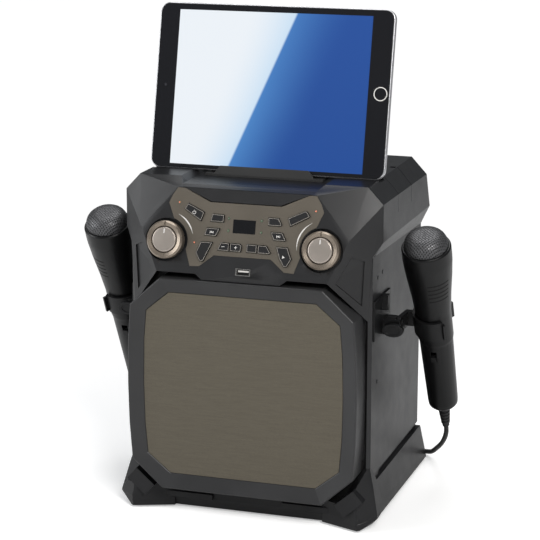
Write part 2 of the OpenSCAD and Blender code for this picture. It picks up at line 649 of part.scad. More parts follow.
module about_woofer() translate([0, baffle_y, woofer_z]) rotate([90, 0, 0]) children();
basket_d = 62;
magnet_r = 42;
magnet_h = 18;
module woofer_basket() at_origin() about_woofer() color(slate) difference() {
    rotate_extrude($fn = 96) polygon([[woofer_r, 0], [woofer_r, 4], [woofer_r - 12, 4],
        [woofer_r - 12, -5], [woofer_r - 14, -12], [magnet_r - 4, -basket_d + 4], [20, -basket_d + 4],
        [20, -basket_d], [magnet_r - 1, -basket_d], [woofer_r - 9.5, -12], [woofer_r - 9.3, 0]]);
    for (a = [0:60:300]) rotate([0, 0, a]) translate([magnet_r + 2, -9, -basket_d + 10])
        cube([40, 18, basket_d - 24]);
    for (a = [45:90:315]) rotate([0, 0, a]) translate([woofer_r - 4.5, 0, -1]) cylinder(r = 2.2, h = 10, $fn = 24);
}
module woofer_magnet() at_origin() about_woofer() color(black) difference() {
    translate([0, 0, -basket_d - magnet_h]) cylinder(r = magnet_r, h = magnet_h, $fn = 64);
    // Gap that the voice coil moves in
    difference() {
        translate([0, 0, -basket_d - 14]) cylinder(r = 14, h = 20);
        translate([0, 0, -basket_d - 15]) cylinder(r = 11.6, h = 22);
    }
}
cone_edge = woofer_r - 15.6;
module woofer_cone() at_origin() about_woofer() color(black) rotate_extrude($fn = 96)
    polygon([[12.4, -basket_d - 8], [13.2, -basket_d - 8], [13.2, -38], [cone_edge - 12, -7],
        [cone_edge - 9, -3.5], [cone_edge - 5, -2.2], [cone_edge - 1, -3.5], [cone_edge, -6],
        [cone_edge + 0.6, -6], [cone_edge - 1, -2.2], [cone_edge - 5, -0.8], [cone_edge - 9.6, -2.2],
        [cone_edge - 13, -5.8], [20, -31.6], [16, -30.6], [9, -28.4], [0, -27.4], [0, -28.8], [9, -30],
        [12.4, -33]]);

module main_board() at_origin() {
    color(green) block([-90, body_rear - 22, jack_z - 50], [94, body_rear - 20.4, jack_z + 12]);
    color(black) for (x = [-60, -48, -30]) translate([x, body_rear - 22, jack_z - 36])
        rotate([90, 0, 0]) cylinder(r = 5, h = 16, $fn = 32);
    color(silver) block([-10, body_rear - 40, jack_z - 45], [40, body_rear - 22, jack_z - 20]);
    color(black) block([50, body_rear - 26, jack_z - 40], [68, body_rear - 22, jack_z - 22]);
}
module power_supply() at_origin() {
    color(green) block([30, 120, floor_z + wall + 4], [105, 190, floor_z + wall + 5.6]);
    color(silver) block([40, 130, floor_z + wall + 5.6], [78, 172, floor_z + wall + 38]);
    color(black) for (p = [[90, 140], [90, 160]]) translate([p[0], p[1], floor_z + wall + 5.6])
        cylinder(r = 7, h = 24, $fn = 32);
    // Legs on the cabinet floor
    color(black) for (x = [35, 100]) for (y = [125, 185]) translate([x, y, floor_z + wall])
        cylinder(r = 3, h = 4, $fn = 24);
}
module rear_jacks() at_origin() {
    color(black) for (x = jack_x) translate([x, body_rear - 20.4, jack_z]) rotate([-90, 0, 0]) difference() {
        union() {
            cylinder(r = 6, h = 22.4);
            translate([0, 0, 20.6]) cylinder(r = 8.5, h = 2.2, $fn = 6);
        }
        translate([0, 0, 3]) cylinder(r = jack_r, h = 30);
    }
    color(silver) for (x = concat(rca_x, [inlet_x])) translate([x, body_rear - 20.4, jack_z])
        rotate([-90, 0, 0]) difference() {
            union() {
                cylinder(r = 5, h = 18);
                cylinder(r = 4.1, h = 27);
            }
            translate([0, 0, 6]) cylinder(r = x == inlet_x ? 2.8 : 1.7, h = 30);
        }
}

// Disc tray and its loader
tray_rim_z = 326.2;
module tray_section(z0, z1) polygon(mirrored([[slot_width(z0, tray_gap), z0], [slot_width(z1, tray_gap), z1]]));
module disc_tray() at_origin() color(black) {
    difference() {
        front_slab(tray_front_y, tray_rear_y) tray_section(seat_z - tray_t, tray_rim_z);
        translate([0, disc_y, seat_z]) cylinder(r = disc_r + 0.6, h = 10, $fn = 96);
        // Slot that the turntable and the pickup's beam pass through
        hub_slot(17);
    }
    // Rack, with its teeth towards the middle
    block([rack_x - 5, tray_front_y, gear_z0], [rack_x - 1.1 * gear_m, tray_rear_y, seat_z - tray_t]);
    for (k = [-2:floor((tray_rear_y - gear_y) / gear_pitch) - 1])
        translate([rack_x, gear_y + (k + 0.5) * gear_pitch, gear_z0]) linear_extrude(gear_z1 - gear_z0)
            polygon([[-1.1 * gear_m, -tooth_half - 0.4 * gear_m], [0.9 * gear_m, -tooth_half + 0.33 * gear_m],
                [0.9 * gear_m, tooth_half - 0.33 * gear_m], [-1.1 * gear_m, tooth_half + 0.4 * gear_m]]);
}
tooth_half = gear_pitch / 4 - 0.12;
module hub_slot(r) {
    translate([0, disc_y, 300]) cylinder(r = r, h = 40);
    block([-r, disc_y, 300], [r, tray_rear_y + 1, 340]);
}

module tray_front() at_origin() color(slate) intersection() {
    front_slab(-20, tray_front_y) polygon(mirrored(concat([[0, slot_low[1] + tray_gap]],
        slot_half(tray_gap), [[0, slot_top[1] - tray_gap * 0.4]])));
    union() {
        slope_cut(-2.6, 0) square([200, 400], center = true);
        // Lugs back to the tray
        block([-30, -20, seat_z - tray_t], [30, tray_front_y, tray_rim_z]);
    }
    slope_cut(-40, 0) square([200, 400], center = true);
}

loader_z = 303;
loader_rear = tray_rear_y + 6;
module loader_frame() at_origin() color(slate) {
    block([-66, 32, loader_z], [66, loader_rear, loader_z + 2]);
    both_sides() {
        block([63, 32, loader_z], [66, loader_rear, deck_z]);
        block([44, 34, loader_z], [48, loader_rear, seat_z - tray_t - slit]);
    }
    // Bridge at the front that carries the pinion's pin
    block([-40, gear_y - 3, loader_z], [0, 33, loader_z + 2]);
    translate([gear_x, gear_y, loader_z]) cylinder(r = 2, h = gear_z1 + 0.6 - loader_z);
    // Spindle motor
    translate([0, disc_y, loader_z + 2]) difference() {
        cylinder(r = 12, h = 9);
        translate([0, 0, 1]) cylinder(r = 1.05, h = 20, $fn = 24);
    }
    // Rails' end supports
    for (y = rod_ends) difference() {
        block([-18, y, loader_z], [18, y + 2.5, rod_z + 3]);
        for (side = [-1, 1]) translate([side * rod_x, y - 1, rod_z]) rotate([-90, 0, 0])
            cylinder(r = rod_r + 0.05, h = 5);
    }
}
rod_x = 14;
rod_z = 311;
sled_y = disc_y + 17;
rod_ends = [sled_y - 3.5, sled_y + 16 + sled_travel + 1];
module guide_rods() at_origin() color(silver) for (side = [-1, 1])
    translate([side * rod_x, rod_ends[0], rod_z]) rotate([-90, 0, 0])
        cylinder(r = rod_r, h = rod_ends[1] + 2.5 - rod_ends[0]);
module pickup_sled() at_origin() {
    color(black) difference() {
        block([-18, sled_y, rod_z - 4.5], [18, sled_y + 16, rod_z + 4]);
        for (side = [-1, 1]) translate([side * rod_x, sled_y - 1, rod_z]) rotate([-90, 0, 0])
            cylinder(r = rod_r + 0.05, h = 20);
    }
    color(silver) translate([0, sled_y + 8, rod_z + 4]) cylinder(r = 4, h = 4);
}
module turntable() at_origin() translate([0, disc_y, 0]) color(black) {
    translate([0, 0, seat_z - 3]) cylinder(r = 14, h = 2.8);
    translate([0, 0, seat_z - 0.2]) cylinder(r = 7.3, h = 1.4);
    translate([0, 0, loader_z + 4]) cylinder(r = 1, h = seat_z - 3 - loader_z - 4, $fn = 24);
}

// Straight-flanked teeth, narrow enough to leave backlash against the rack
function gear_tooth(a) = let(h0 = (90 / gear_teeth) * 1.42, h1 = (90 / gear_teeth) * 0.93,
    h2 = (90 / gear_teeth) * 0.42, r0 = gear_r - 1.15 * gear_m, r2 = gear_r + 0.85 * gear_m)
    [r0 * [cos(a - h0), sin(a - h0)], gear_r * [cos(a - h1), sin(a - h1)], r2 * [cos(a - h2), sin(a - h2)],
    r2 * [cos(a + h2), sin(a + h2)], gear_r * [cos(a + h1), sin(a + h1)], r0 * [cos(a + h0), sin(a + h0)]];
module tray_gear() at_origin() translate([gear_x, gear_y, gear_z0]) color("white") difference() {
    linear_extrude(gear_z1 - gear_z0) polygon([for (k = [0:gear_teeth - 1])
        for (p = gear_tooth(180 + k * 360 / gear_teeth)) p]);
    translate([0, 0, -1]) cylinder(r = 2.05, h = 20);
}

// Microphone clips
module clip_brackets() at_origin() color(black) both_sides() {
    block([body_x, body_front + 2, pivot[2] - 7], [body_x + 2, 84, pivot[2] + 32]);
    block([body_x + 2, 50, pivot[2] + 18], [body_x + 8, 58, pivot[2] + 33]);
    // Boss with the pivot pin
    translate([body_x, pivot[1], pivot[2]]) rotate([0, 90, 0]) {
        cylinder(r = 8, h = boss_x - body_x);
        cylinder(r = pivot_r, h = ear_x + ear_t + 0.3 - body_x);
        translate([0, 0, ear_x + ear_t + 0.3 - body_x]) cylinder(r = 4.5, h = 1);
    }
    // Block that the thumb screw runs through
    difference() {
        block([body_x + 1, 54, pivot[2] - 7], [ear_x + ear_t + 2, 60, pivot[2] + 7]);
        translate([screw_x, 50, pivot[2]]) rotate([-90, 0, 0]) cylinder(r = 2.3, h = 20, $fn = 32);
    }
}
ear_t = 4;
screw_x = ear_x + ear_t / 2;
sleeve_r = mic_grip_r + clip_gap;
module mic_clip(side) at_origin() scale([side, 1, 1]) color(black) {
    on_mic(1) translate([0, 0, clip_at - clip_h / 2]) {
        rotate([0, 0, 52]) rotate_extrude(angle = 256) translate([sleeve_r, 0]) square([jaw_t, clip_h]);
        // Lips that guide the microphone in
        for (a = [-52, 52]) rotate([0, 0, a]) translate([sleeve_r + 0.4, -1.2, 2])
            cube([jaw_t + 3, 2.4, clip_h - 4]);
    }
    difference() {
        union() {
            hull() {
                translate([ear_x, pivot[1], pivot[2]]) rotate([0, 90, 0]) cylinder(r = 7.5, h = ear_t, $fn = 32);
                translate([ear_x, clip_point[1], clip_point[2]]) rotate([0, 90, 0])
                    cylinder(r = 7.5, h = ear_t, $fn = 32);
            }
            // Bridge from the ear to the sleeve
            translate([ear_x, clip_point[1] - 5, clip_point[2] - 7])
                cube([mic_x - sleeve_r - jaw_t / 2 - ear_x, 10, 14]);
        }
        translate([ear_x - 1, pivot[1], pivot[2]]) rotate([0, 90, 0]) cylinder(r = pivot_r + 0.05, h = 20);
        // Room for the pin's head
        translate([ear_x + ear_t, pivot[1], pivot[2]]) rotate([0, 90, 0]) cylinder(r = 5.2, h = 20);
        on_mic(1) cylinder(r = sleeve_r + 0.2, h = mic_len);
    }
}
module mic_clip_left() mic_clip(-1);
module mic_clip_right() mic_clip(1);

module thumb_screw(side) at_origin() translate([side * screw_x, 0, pivot[2]]) rotate([-90, 0, 0]) color(black) {
    translate([0, 0, 43]) difference() {
        linear_extrude(5) scale([1, 0.6]) circle(r = 10.5);
        translate([0, 0, -1]) linear_extrude(2) scale([1, 0.6]) circle(r = 7);
    }
    translate([0, 0, 48]) cylinder(r = 4, h = 5.6);
    translate([0, 0, 48]) cylinder(r = 2, h = pivot[1] - 7.5 - slit - 48, $fn = 32);
}
module thumb_screw_left() thumb_screw(-1);
module thumb_screw_right() thumb_screw(1);

// Microphones
mic_wall = 2.4;
function mic_outline(g) = [[9 - g, 0], [12.6 - g, 0.8], [14.8 - g, 3.6], [15.2 - g, 9], [mic_grip_r - 0.9 - g, 88],
    [mic_grip_r - g, 93], [mic_grip_r - g, clip_at + clip_h / 2 + 1], [mic_head_r - 4.3 - g, 148],
    [mic_head_r - 1.6 - g, 171], [mic_head_r - 0.2 - g, 187], [mic_head_r - g, 192],
    [mic_head_r - g, mic_rim - 1.5], [mic_head_r - 1 - g, mic_rim]];
switch_z = 70;
cord_bore = cord_d / 2 + 0.45;
module mic_body(side) at_origin() on_mic(side) color(black) difference() {
    rotate_extrude() polygon(concat([[0, 0]], mic_outline(0), [[0, mic_rim]]));
    // Hollow above the solid tail
    rotate_extrude() polygon(concat([[0, 12], [15.2 - mic_wall, 12]],
        [for (i = [4:10]) mic_outline(mic_wall)[i]], [[mic_head_r - mic_wall, mic_rim + 1], [0, mic_rim + 1]]));
    translate([0, 0, -1]) cylinder(r = cord_bore, h = 20);
    // Window for the switch
    translate([-3, -30, switch_z]) cube([6, 30, 13]);
}
module mic_body_left() mic_body(-1);
module mic_body_right() mic_body(1);
dome_r = mic_head_r - 0.6;
dome_h = mic_len - mic_rim + 2;
function dome(g, n) = [for (i = [0:n]) let(a = 90 * i / n)
    [(dome_r - g) * pow(cos(a), 0.7), (dome_h - g) * pow(sin(a), 0.9)]];
module mic_grille(side) at_origin() on_mic(side) color(slate) translate([0, 0, mic_rim - 2]) {
    rotate_extrude() polygon(concat([for (p = dome(1.8, 9)) [p[0] * 0.92, p[1]]],
        [for (i = [9:-1:0]) [dome(1.8, 9)[i][0] * 0.92 + (i == 9 ? 0 : 1.7 * 0.92), dome(0, 9)[i][1] + 2 * (1 - i / 9)]]));
}
module mic_grille_left() mic_grille(-1);
module mic_grille_right() mic_grille(1);
module mic_switch(side) at_origin() on_mic(side) color(charcoal) {
    translate([-2.6, -mic_grip_r + 0.3, switch_z + 0.6]) cube([5.2, 3.1, 6]);
    translate([-2.6, -mic_grip_r + 3.4, switch_z + 0.6]) cube([5.2, 2, 7]);
}
module mic_switch_left() mic_switch(-1);
module mic_switch_right() mic_switch(1);

relief_len = 30;
module mic_strain_relief() at_origin() on_mic(1) color(black) difference() {
    rotate_extrude() polygon(concat([[0, 0]], [for (i = [0:5], s = [0, 1, 2, 3])
        let(z = -i * 4.6 - [0, 3, 3, 4.6][s], r = 6.6 + z * 0.085) [r - [0, 0, 0.9, 0.9][s], z]],
        [[3.6, -relief_len], [0, -relief_len]]));
    translate([0, 0, -relief_len - 1]) cylinder(r = cord_bore, h = relief_len + 2);
}

// Cord: it leaves the tail of the right microphone, goes down behind the base and joins the coil
function ring_at(p, t, r, n) = let(side = unit(cross(t, [0, 0, 1])), over = cross(side, t))
    [for (i = [0:n - 1]) p + r * (cos(360 * i / n) * side + sin(360 * i / n) * over)];
function run_at(path, i) = unit(path[min(i + 1, len(path) - 1)] - path[max(i - 1, 0)]);
module tube(path, r, n) skin([for (i = [0:len(path) - 1]) ring_at(path[i], run_at(path, i), r, n)]);
cord_route = [[164, 130.3, 130.4], [164, 140.4, 109.8], [164, 150, 90], [164, 156.6, 76.5], [164, 163.2, 63],
    [163.9, 166, 57.5], [162.9, 169.8, 52.2], [160.6, 176, 45.6], [156, 186, 36.6], [150.4, 197, 28.4],
    [144.2, 209, 20.6], [138.6, 220, 13.8], [133.2, 230.5, 8.4], [126.5, 238.5, 5.2], [117, 242.6, 3.4],
    [105, 244, 2.6], [93, 244, 2.5], [81, 244, 2.5], [69.5, 244, 2.5], [58, 244, 2.5]];
module mic_cord() at_origin() color(black) tube(cord_route, cord_d / 2, 8);

// Coil of the length that does not show
coil_mid = [52, 282];
coil_out = 38;
coil_pitch = 5.5;
coil_turns = 4;
coil_layers = 4;
coil_steps = 24;
// Turns so far into the layer, counted in and out again
function coil_at(t) = let(layer = floor(t / coil_turns), u = t - layer * coil_turns,
    r = coil_out - coil_pitch * (layer % 2 == 0 ? u : coil_turns - u),
    near = round(t / coil_turns), d = t - near * coil_turns,
    step = near > 0 && near < coil_layers && abs(d) < 0.25 ? 0.5 + 2 * d : d < 0 ? 0 : 1,
    z = cord_d / 2 + coil_pitch * min(coil_layers - 1, max(0, near - 1 + step)), a = -90 - 360 * t)
    [coil_mid[0] + r * cos(a), coil_mid[1] + r * sin(a), z];
coil_end = coil_turns * coil_layers;
coil_path = concat([[58, 244, 2.5]], [for (i = [0:coil_steps * coil_end]) coil_at(i / coil_steps)],
    [[46, 244, 18.8], [36, 243.8, 17], [24, 243.5, 13.5], [12, 243.2, 9.5], [2, 243, 6.8], [-6, 243, 6],
    [-12, 243, 6]]);
module cord_coil() at_origin() color(black) tube(coil_path, cord_d / 2, 6);
wound = [for (i = [0:coil_steps * coil_end]) coil_at(i / coil_steps)];
coil_gap = min([for (i = [0:3:len(wound) - 1]) min([for (j = [0:len(wound) - 1])
    abs(i - j) < coil_steps / 2 ? 1000 : norm(wound[i] - wound[j])])]) - cord_d;
echo(coil_gap = coil_gap);

plug_x = -12;
module mic_plug() at_origin() translate([plug_x, 243, 6]) rotate([0, -90, 0]) {
    color(black) rotate_extrude() polygon([[0, 0], [4, 0], [5, 3], [5.8, 8], [5.8, 30], [0, 30]]);
    color(silver) rotate_extrude() polygon([[0, 30], [4.6, 30], [4.6, 32], [3.15, 32], [3.15, 54], [2.5, 55],
        [2.5, 56.5], [3.15, 57.5], [1.2, 62], [0, 62.4]]);
}

// Tablet
tablet_corner = 10;
glass_t = 1.2;
module rounded(w, h, r) {
    square([w - 2 * r, h], center = true);
    square([w, h - 2 * r], center = true);
    for (x = [-1, 1]) for (y = [-1, 1]) translate([x * (w / 2 - r), y * (h / 2 - r)]) circle(r = r);
}
module tablet_housing() at_origin() on_tablet() color(silver) translate([0, tablet_t, tablet_h / 2])
    rotate([90, 0, 0]) linear_extrude(tablet_t - glass_t) rounded(tablet_w, tablet_h, tablet_corner);
module tablet_screen() at_origin() on_tablet() color(black) translate([0, glass_t, tablet_h / 2])
    rotate([90, 0, 0]) linear_extrude(glass_t) rounded(tablet_w - 2.4, tablet_h - 2.4, tablet_corner - 1.2);

module case_screws() at_origin() color(silver) {
    for (p = rear_screws) translate([p[0], body_rear, p[1]]) rotate([90, 0, 0]) difference() {
        union() {
            translate([0, 0, -1.6]) cylinder(r = 3, h = 1.6, $fn = 32);
            cylinder(r = screw_r, h = 12, $fn = 24);
        }
        translate([-0.5, -2.4, -2]) cube([1, 4.8, 1.2]);
        translate([-2.4, -0.5, -2]) cube([4.8, 1, 1.2]);
    }
    both_sides() for (p = side_screws) translate([body_x, p[0], p[1]]) rotate([0, -90, 0]) {
        translate([0, 0, -0.4]) cylinder(r = 2, h = 0.4, $fn = 24);
        cylinder(r = screw_r, h = 8, $fn = 24);
    }
}

cabinet_body();
rear_panel();
base_plinth();
rubber_feet();
front_bezel();
head_shell();
tablet_cradle();
control_fascia();
usb_socket();
display_window();
control_board();
knob_left();
knob_right();
knob_cap_left();
knob_cap_right();
button_power();
button_mode();
button_previous();
button_echo();
button_minus();
button_plus();
button_mute();
button_repeat();
button_program();
button_next();
button_play();
button_tray();
grille_frame();
grille_cloth();
woofer_basket();
woofer_magnet();
woofer_cone();
main_board();
power_supply();
rear_jacks();
disc_tray();
tray_front();
loader_frame();
turntable();
pickup_sled();
guide_rods();
tray_gear();
clip_brackets();
mic_clip_left();
mic_clip_right();
thumb_screw_left();
thumb_screw_right();
mic_body_left();
mic_grille_left();
mic_switch_left();
mic_body_right();
mic_grille_right();
mic_switch_right();
mic_strain_relief();
mic_cord();
cord_coil();
mic_plug();
tablet_housing();
tablet_screen();
case_screws();
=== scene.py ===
import json
import math

import bmesh
import bpy
from mathutils import Matrix, Vector

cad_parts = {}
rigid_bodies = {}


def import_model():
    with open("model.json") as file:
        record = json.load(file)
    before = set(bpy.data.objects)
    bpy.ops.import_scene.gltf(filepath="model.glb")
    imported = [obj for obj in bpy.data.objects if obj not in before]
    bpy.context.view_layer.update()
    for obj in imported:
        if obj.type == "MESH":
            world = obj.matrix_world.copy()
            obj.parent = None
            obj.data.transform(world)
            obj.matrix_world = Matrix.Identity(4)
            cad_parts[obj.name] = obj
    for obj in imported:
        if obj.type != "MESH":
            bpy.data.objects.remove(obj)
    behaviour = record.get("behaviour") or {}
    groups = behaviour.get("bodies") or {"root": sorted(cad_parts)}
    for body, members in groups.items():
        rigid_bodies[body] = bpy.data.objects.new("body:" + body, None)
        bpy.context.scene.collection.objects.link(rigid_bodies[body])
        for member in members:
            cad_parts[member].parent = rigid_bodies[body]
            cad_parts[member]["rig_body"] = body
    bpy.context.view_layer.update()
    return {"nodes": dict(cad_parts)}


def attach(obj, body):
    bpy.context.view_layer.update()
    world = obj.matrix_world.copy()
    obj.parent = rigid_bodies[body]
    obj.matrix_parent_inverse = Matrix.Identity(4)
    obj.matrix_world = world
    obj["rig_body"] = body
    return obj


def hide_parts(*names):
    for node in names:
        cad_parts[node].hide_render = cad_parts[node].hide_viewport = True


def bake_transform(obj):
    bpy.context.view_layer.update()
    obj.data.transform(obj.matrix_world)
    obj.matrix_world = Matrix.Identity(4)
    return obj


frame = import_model()
cadNodes = frame["nodes"]
scene = bpy.context.scene
scene.view_settings.view_transform = "Standard"

# the middle of the machine's outline lies this far behind the toes of the feet, in mm
middleY = 110.0
sides = {"left": -1, "right": 1}


def spot(x, y, z):
    # a place measured from the toes of the feet in mm, in the frame's metres
    return Vector((x, y - middleY, z)) / 1000


def unit(v):
    return Vector(v).normalized()


# camera, light and floor
cameraSetup = {"place": (0.590, -1.843, 0.701), "towards": (-0.3001, 0.9237, -0.2382), "lens": 131.8}
lampSetup = {
    # name: place, aim, width, height, watts, colour
    "keyLamp": ((1.15, -1.5, 1.55), (0.0, 0.0, 0.25), 1.0, 1.0, 34.0, (1.0, 0.985, 0.965)),
    "leftLamp": ((-1.7, -0.9, 0.9), (0.0, 0.0, 0.2), 1.0, 1.4, 21.0, (0.97, 0.985, 1.0)),
    "topLamp": ((-0.15, 0.35, 1.9), (0.0, 0.0, 0.3), 1.3, 1.0, 15.0, (1.0, 1.0, 1.0)),
}


def placeCamera():
    cameraData = bpy.data.cameras.new("photoCamera")
    camera = bpy.data.objects.new("photoCamera", cameraData)
    scene.collection.objects.link(camera)
    camera.location = cameraSetup["place"]
    camera.rotation_euler = Vector(cameraSetup["towards"]).to_track_quat("-Z", "Y").to_euler()
    cameraData.lens = cameraSetup["lens"]
    cameraData.sensor_width = 36.0
    cameraData.clip_start = 0.05
    cameraData.clip_end = 60.0
    scene.camera = camera


def placeLamps():
    for name, (place, aim, width, height, watts, colour) in lampSetup.items():
        lampData = bpy.data.lights.new(name, "AREA")
        lampData.shape = "RECTANGLE"
        lampData.size = width
        lampData.size_y = height
        lampData.energy = watts
        lampData.color = colour
        lamp = bpy.data.objects.new(name, lampData)
        scene.collection.objects.link(lamp)
        lamp.location = place
        lamp.rotation_euler = (Vector(aim) - Vector(place)).to_track_quat("-Z", "Y").to_euler()


class Field:
    # a socket with Python's operators: each operator adds one Math node
    def __init__(self, recipe, socket):
        self.recipe = recipe
        self.socket = socket

    def sum(self, operation, *others, swap=False):
        values = [self, *others]
        if swap:
            values.reverse()
        return self.recipe.add("ShaderNodeMath", {"operation": operation}, dict(enumerate(values)))

    def __add__(self, other):
        return self.sum("ADD", other)

    __radd__ = __add__

    def __sub__(self, other):
        return self.sum("SUBTRACT", other)

    def __rsub__(self, other):
        return self.sum("SUBTRACT", other, swap=True)

    def __mul__(self, other):
        return self.sum("MULTIPLY", other)

    __rmul__ = __mul__

    def __truediv__(self, other):
        return self.sum("DIVIDE", other)

    def __rtruediv__(self, other):
        return self.sum("DIVIDE", other, swap=True)

    def __abs__(self):
        return self.sum("ABSOLUTE")

    def sine(self):
        return self.sum("SINE")

    def along(self, axis):
        # how far the vector reaches along an axis
        return self.recipe.add("ShaderNodeVectorMath", {"operation": "DOT_PRODUCT"},
                               {0: self, 1: tuple(axis)}, out="Value")

    def root(self):
        return self.sum("SQRT")

    def most(self, other):
        return self.sum("MAXIMUM", other)

    def band(self, low, high):
        # 0 below low, 1 above high, and smooth between them
        return self.recipe.add("ShaderNodeMapRange", {"interpolation_type": "SMOOTHSTEP"},
                               {"Value": self, "From Min": low, "From Max": high})

    def part(self, name):
        return Field(self.recipe, self.socket.node.outputs[name])


class Recipe:
    # one material, put together node by node
    def __init__(self, name):
        self.material = bpy.data.materials.new(name)
        self.material.use_nodes = True
        self.tree = self.material.node_tree
        self.tree.nodes.clear()

    def add(self, kind, settings=None, values=None, out=0):
        node = self.tree.nodes.new(kind)
        for key, value in (settings or {}).items():
            if key == "stops":
                ramp = node.color_ramp
                while len(ramp.elements) < len(value):
                    ramp.elements.new(0.5)
                for element, (place, colour) in zip(ramp.elements, value):
                    element.position = place
                    element.color = (*colour, 1.0) if len(colour) == 3 else colour
            else:
                setattr(node, key, value)
        for key, value in (values or {}).items():
            socket = node.inputs[key]
            if isinstance(value, Field):
                self.tree.links.new(value.socket, socket)
            elif socket.type == "RGBA" and len(value) == 3:
                socket.default_value = (*value, 1.0)
            else:
                socket.default_value = value
        return Field(self, node.outputs[out]) if len(node.outputs) else None

    def coordinates(self, kind="Object"):
        field = self.add("ShaderNodeTexCoord")
        return field.part(kind)

    def axes(self, vector):
        split = self.add("ShaderNodeSeparateXYZ", None, {0: vector})
        return split.part("X"), split.part("Y"), split.part("Z")

    def noise(self, vector, scale, detail=3.0, roughness=0.55):
        return self.add("ShaderNodeTexNoise", None, {
            "Vector": vector, "Scale": scale, "Detail": detail, "Roughness": roughness})

    def blend(self, factor, first, second):
        node = self.tree.nodes.new("ShaderNodeMix")
        node.data_type = "RGBA"
        for socket, value in ((node.inputs[0], factor), (node.inputs[6], first), (node.inputs[7], second)):
            if isinstance(value, Field):
                self.tree.links.new(value.socket, socket)
            elif socket.type == "RGBA":
                socket.default_value = (*value, 1.0)
            else:
                socket.default_value = value
        return Field(self, node.outputs[2])

    def bump(self, height, distance, strength=1.0):
        return self.add("ShaderNodeBump", None,
                        {"Height": height, "Distance": distance, "Strength": strength})

    def finish(self, **values):
        # keywords are the shader's sockets, with _ for a space
        shader = self.add("ShaderNodeBsdfPrincipled", None,
                          {key.replace("_", " "): value for key, value in values.items()})
        self.add("ShaderNodeOutputMaterial", None, {"Surface": shader})
        return self.material


def placeFloor():
    # the camera sees a floor that fades to white round the machine's shadow, and the lamps see plain cloth
    recipe = Recipe("studioFloor")
    cloth = recipe.add("ShaderNodeBsdfDiffuse", None, {"Color": (0.86, 0.86, 0.86), "Roughness": 0.6})
    x, y, z = recipe.axes(recipe.coordinates())
    away = ((x * x + (y - 0.02) * (y - 0.02)).root()).band(0.22, 0.62)
    glow = recipe.add("ShaderNodeEmission", None, {"Color": (1.0, 1.0, 1.0), "Strength": 0.36})
    shade = recipe.add("ShaderNodeAddShader", None, {0: cloth, 1: glow})
    white = recipe.add("ShaderNodeEmission", None, {"Color": (1.0, 1.0, 1.0), "Strength": 1.02})
    faded = recipe.add("ShaderNodeMixShader", None, {0: away, 1: shade, 2: white})
    rays = recipe.add("ShaderNodeLightPath")
    seen = recipe.add("ShaderNodeMixShader", None, {0: rays.part("Is Camera Ray"), 1: cloth, 2: faded})
    recipe.add("ShaderNodeOutputMaterial", None, {"Surface": seen})
    bm = bmesh.new()
    bmesh.ops.create_grid(bm, x_segments=2, y_segments=2, size=9.0)
    floorMesh = bpy.data.meshes.new("studioFloor")
    bm.to_mesh(floorMesh)
    bm.free()
    floorMesh.transform(Matrix.Translation((0, 0, -0.0004)))
    floorMesh.materials.append(recipe.material)
    floor = bpy.data.objects.new("studioFloor", floorMesh)
    scene.collection.objects.link(floor)
    world = bpy.data.worlds.new("studioWorld")
    world.use_nodes = True
    scene.world = world
    tree = world.node_tree
    tree.nodes.clear()
    rays = tree.nodes.new("ShaderNodeLightPath")
    seen = tree.nodes.new("ShaderNodeMath")
    seen.operation = "MAXIMUM"
    tree.links.new(rays.outputs["Is Camera Ray"], seen.inputs[0])
    tree.links.new(rays.outputs["Is Transmission Ray"], seen.inputs[1])
    dim = tree.nodes.new("ShaderNodeBackground")
    dim.inputs["Color"].default_value = (0.92, 0.96, 1.0, 1.0)
    dim.inputs["Strength"].default_value = 0.18
    white = tree.nodes.new("ShaderNodeBackground")
    white.inputs["Color"].default_value = (1.0, 1.0, 1.0, 1.0)
    white.inputs["Strength"].default_value = 1.0
    mix = tree.nodes.new("ShaderNodeMixShader")
    output = tree.nodes.new("ShaderNodeOutputWorld")
    tree.links.new(seen.outputs[0], mix.inputs[0])
    tree.links.new(dim.outputs[0], mix.inputs[1])
    tree.links.new(white.outputs[0], mix.inputs[2])
    tree.links.new(mix.outputs[0], output.inputs[0])


# finishes
def grainPlastic(name, colour, roughness=0.42, grain=0.00003, lift=0.1, coat=0.0):
    # moulded plastic: fine grain, a slow drift of tone and gloss
    recipe = Recipe(name)
    place = recipe.coordinates()
    fine = recipe.noise(place, 2600.0, 2.0)
    slow = recipe.noise(place, 14.0, 2.0)
    smears = recipe.noise(place, 60.0, 3.0)
    tone = recipe.blend(slow.band(0.35, 0.65), [c * (1 - lift) for c in colour],
                        [c * (1 + lift) for c in colour])
    gloss = roughness + (smears - 0.5) * 0.12 + (fine - 0.5) * 0.05
    return recipe.finish(Base_Color=tone, Roughness=gloss, Coat_Weight=coat, Coat_Roughness=0.2,
                         Specular_IOR_Level=0.36, Normal=recipe.bump(fine, grain))


def brushedMetal(name, colour, roughness=0.32, metallic=0.8, along=(1.0, 0.04, 1.0), scale=900.0):
    # short scratches that run across the axis with the small number
    recipe = Recipe(name)
    place = recipe.coordinates()
    lines = recipe.add("ShaderNodeMapping", {}, {"Vector": place, "Scale": along})
    scratches = recipe.noise(lines, scale, 2.0)
    slow = recipe.noise(place, 20.0, 2.0)
    tone = recipe.blend(slow.band(0.3, 0.7), [c * 0.93 for c in colour],
                        [min(c * 1.06, 1.0) for c in colour])
    return recipe.finish(Base_Color=tone, Metallic=metallic, Roughness=roughness + (scratches - 0.5) * 0.18,
                         Normal=recipe.bump(scratches, 0.000015))


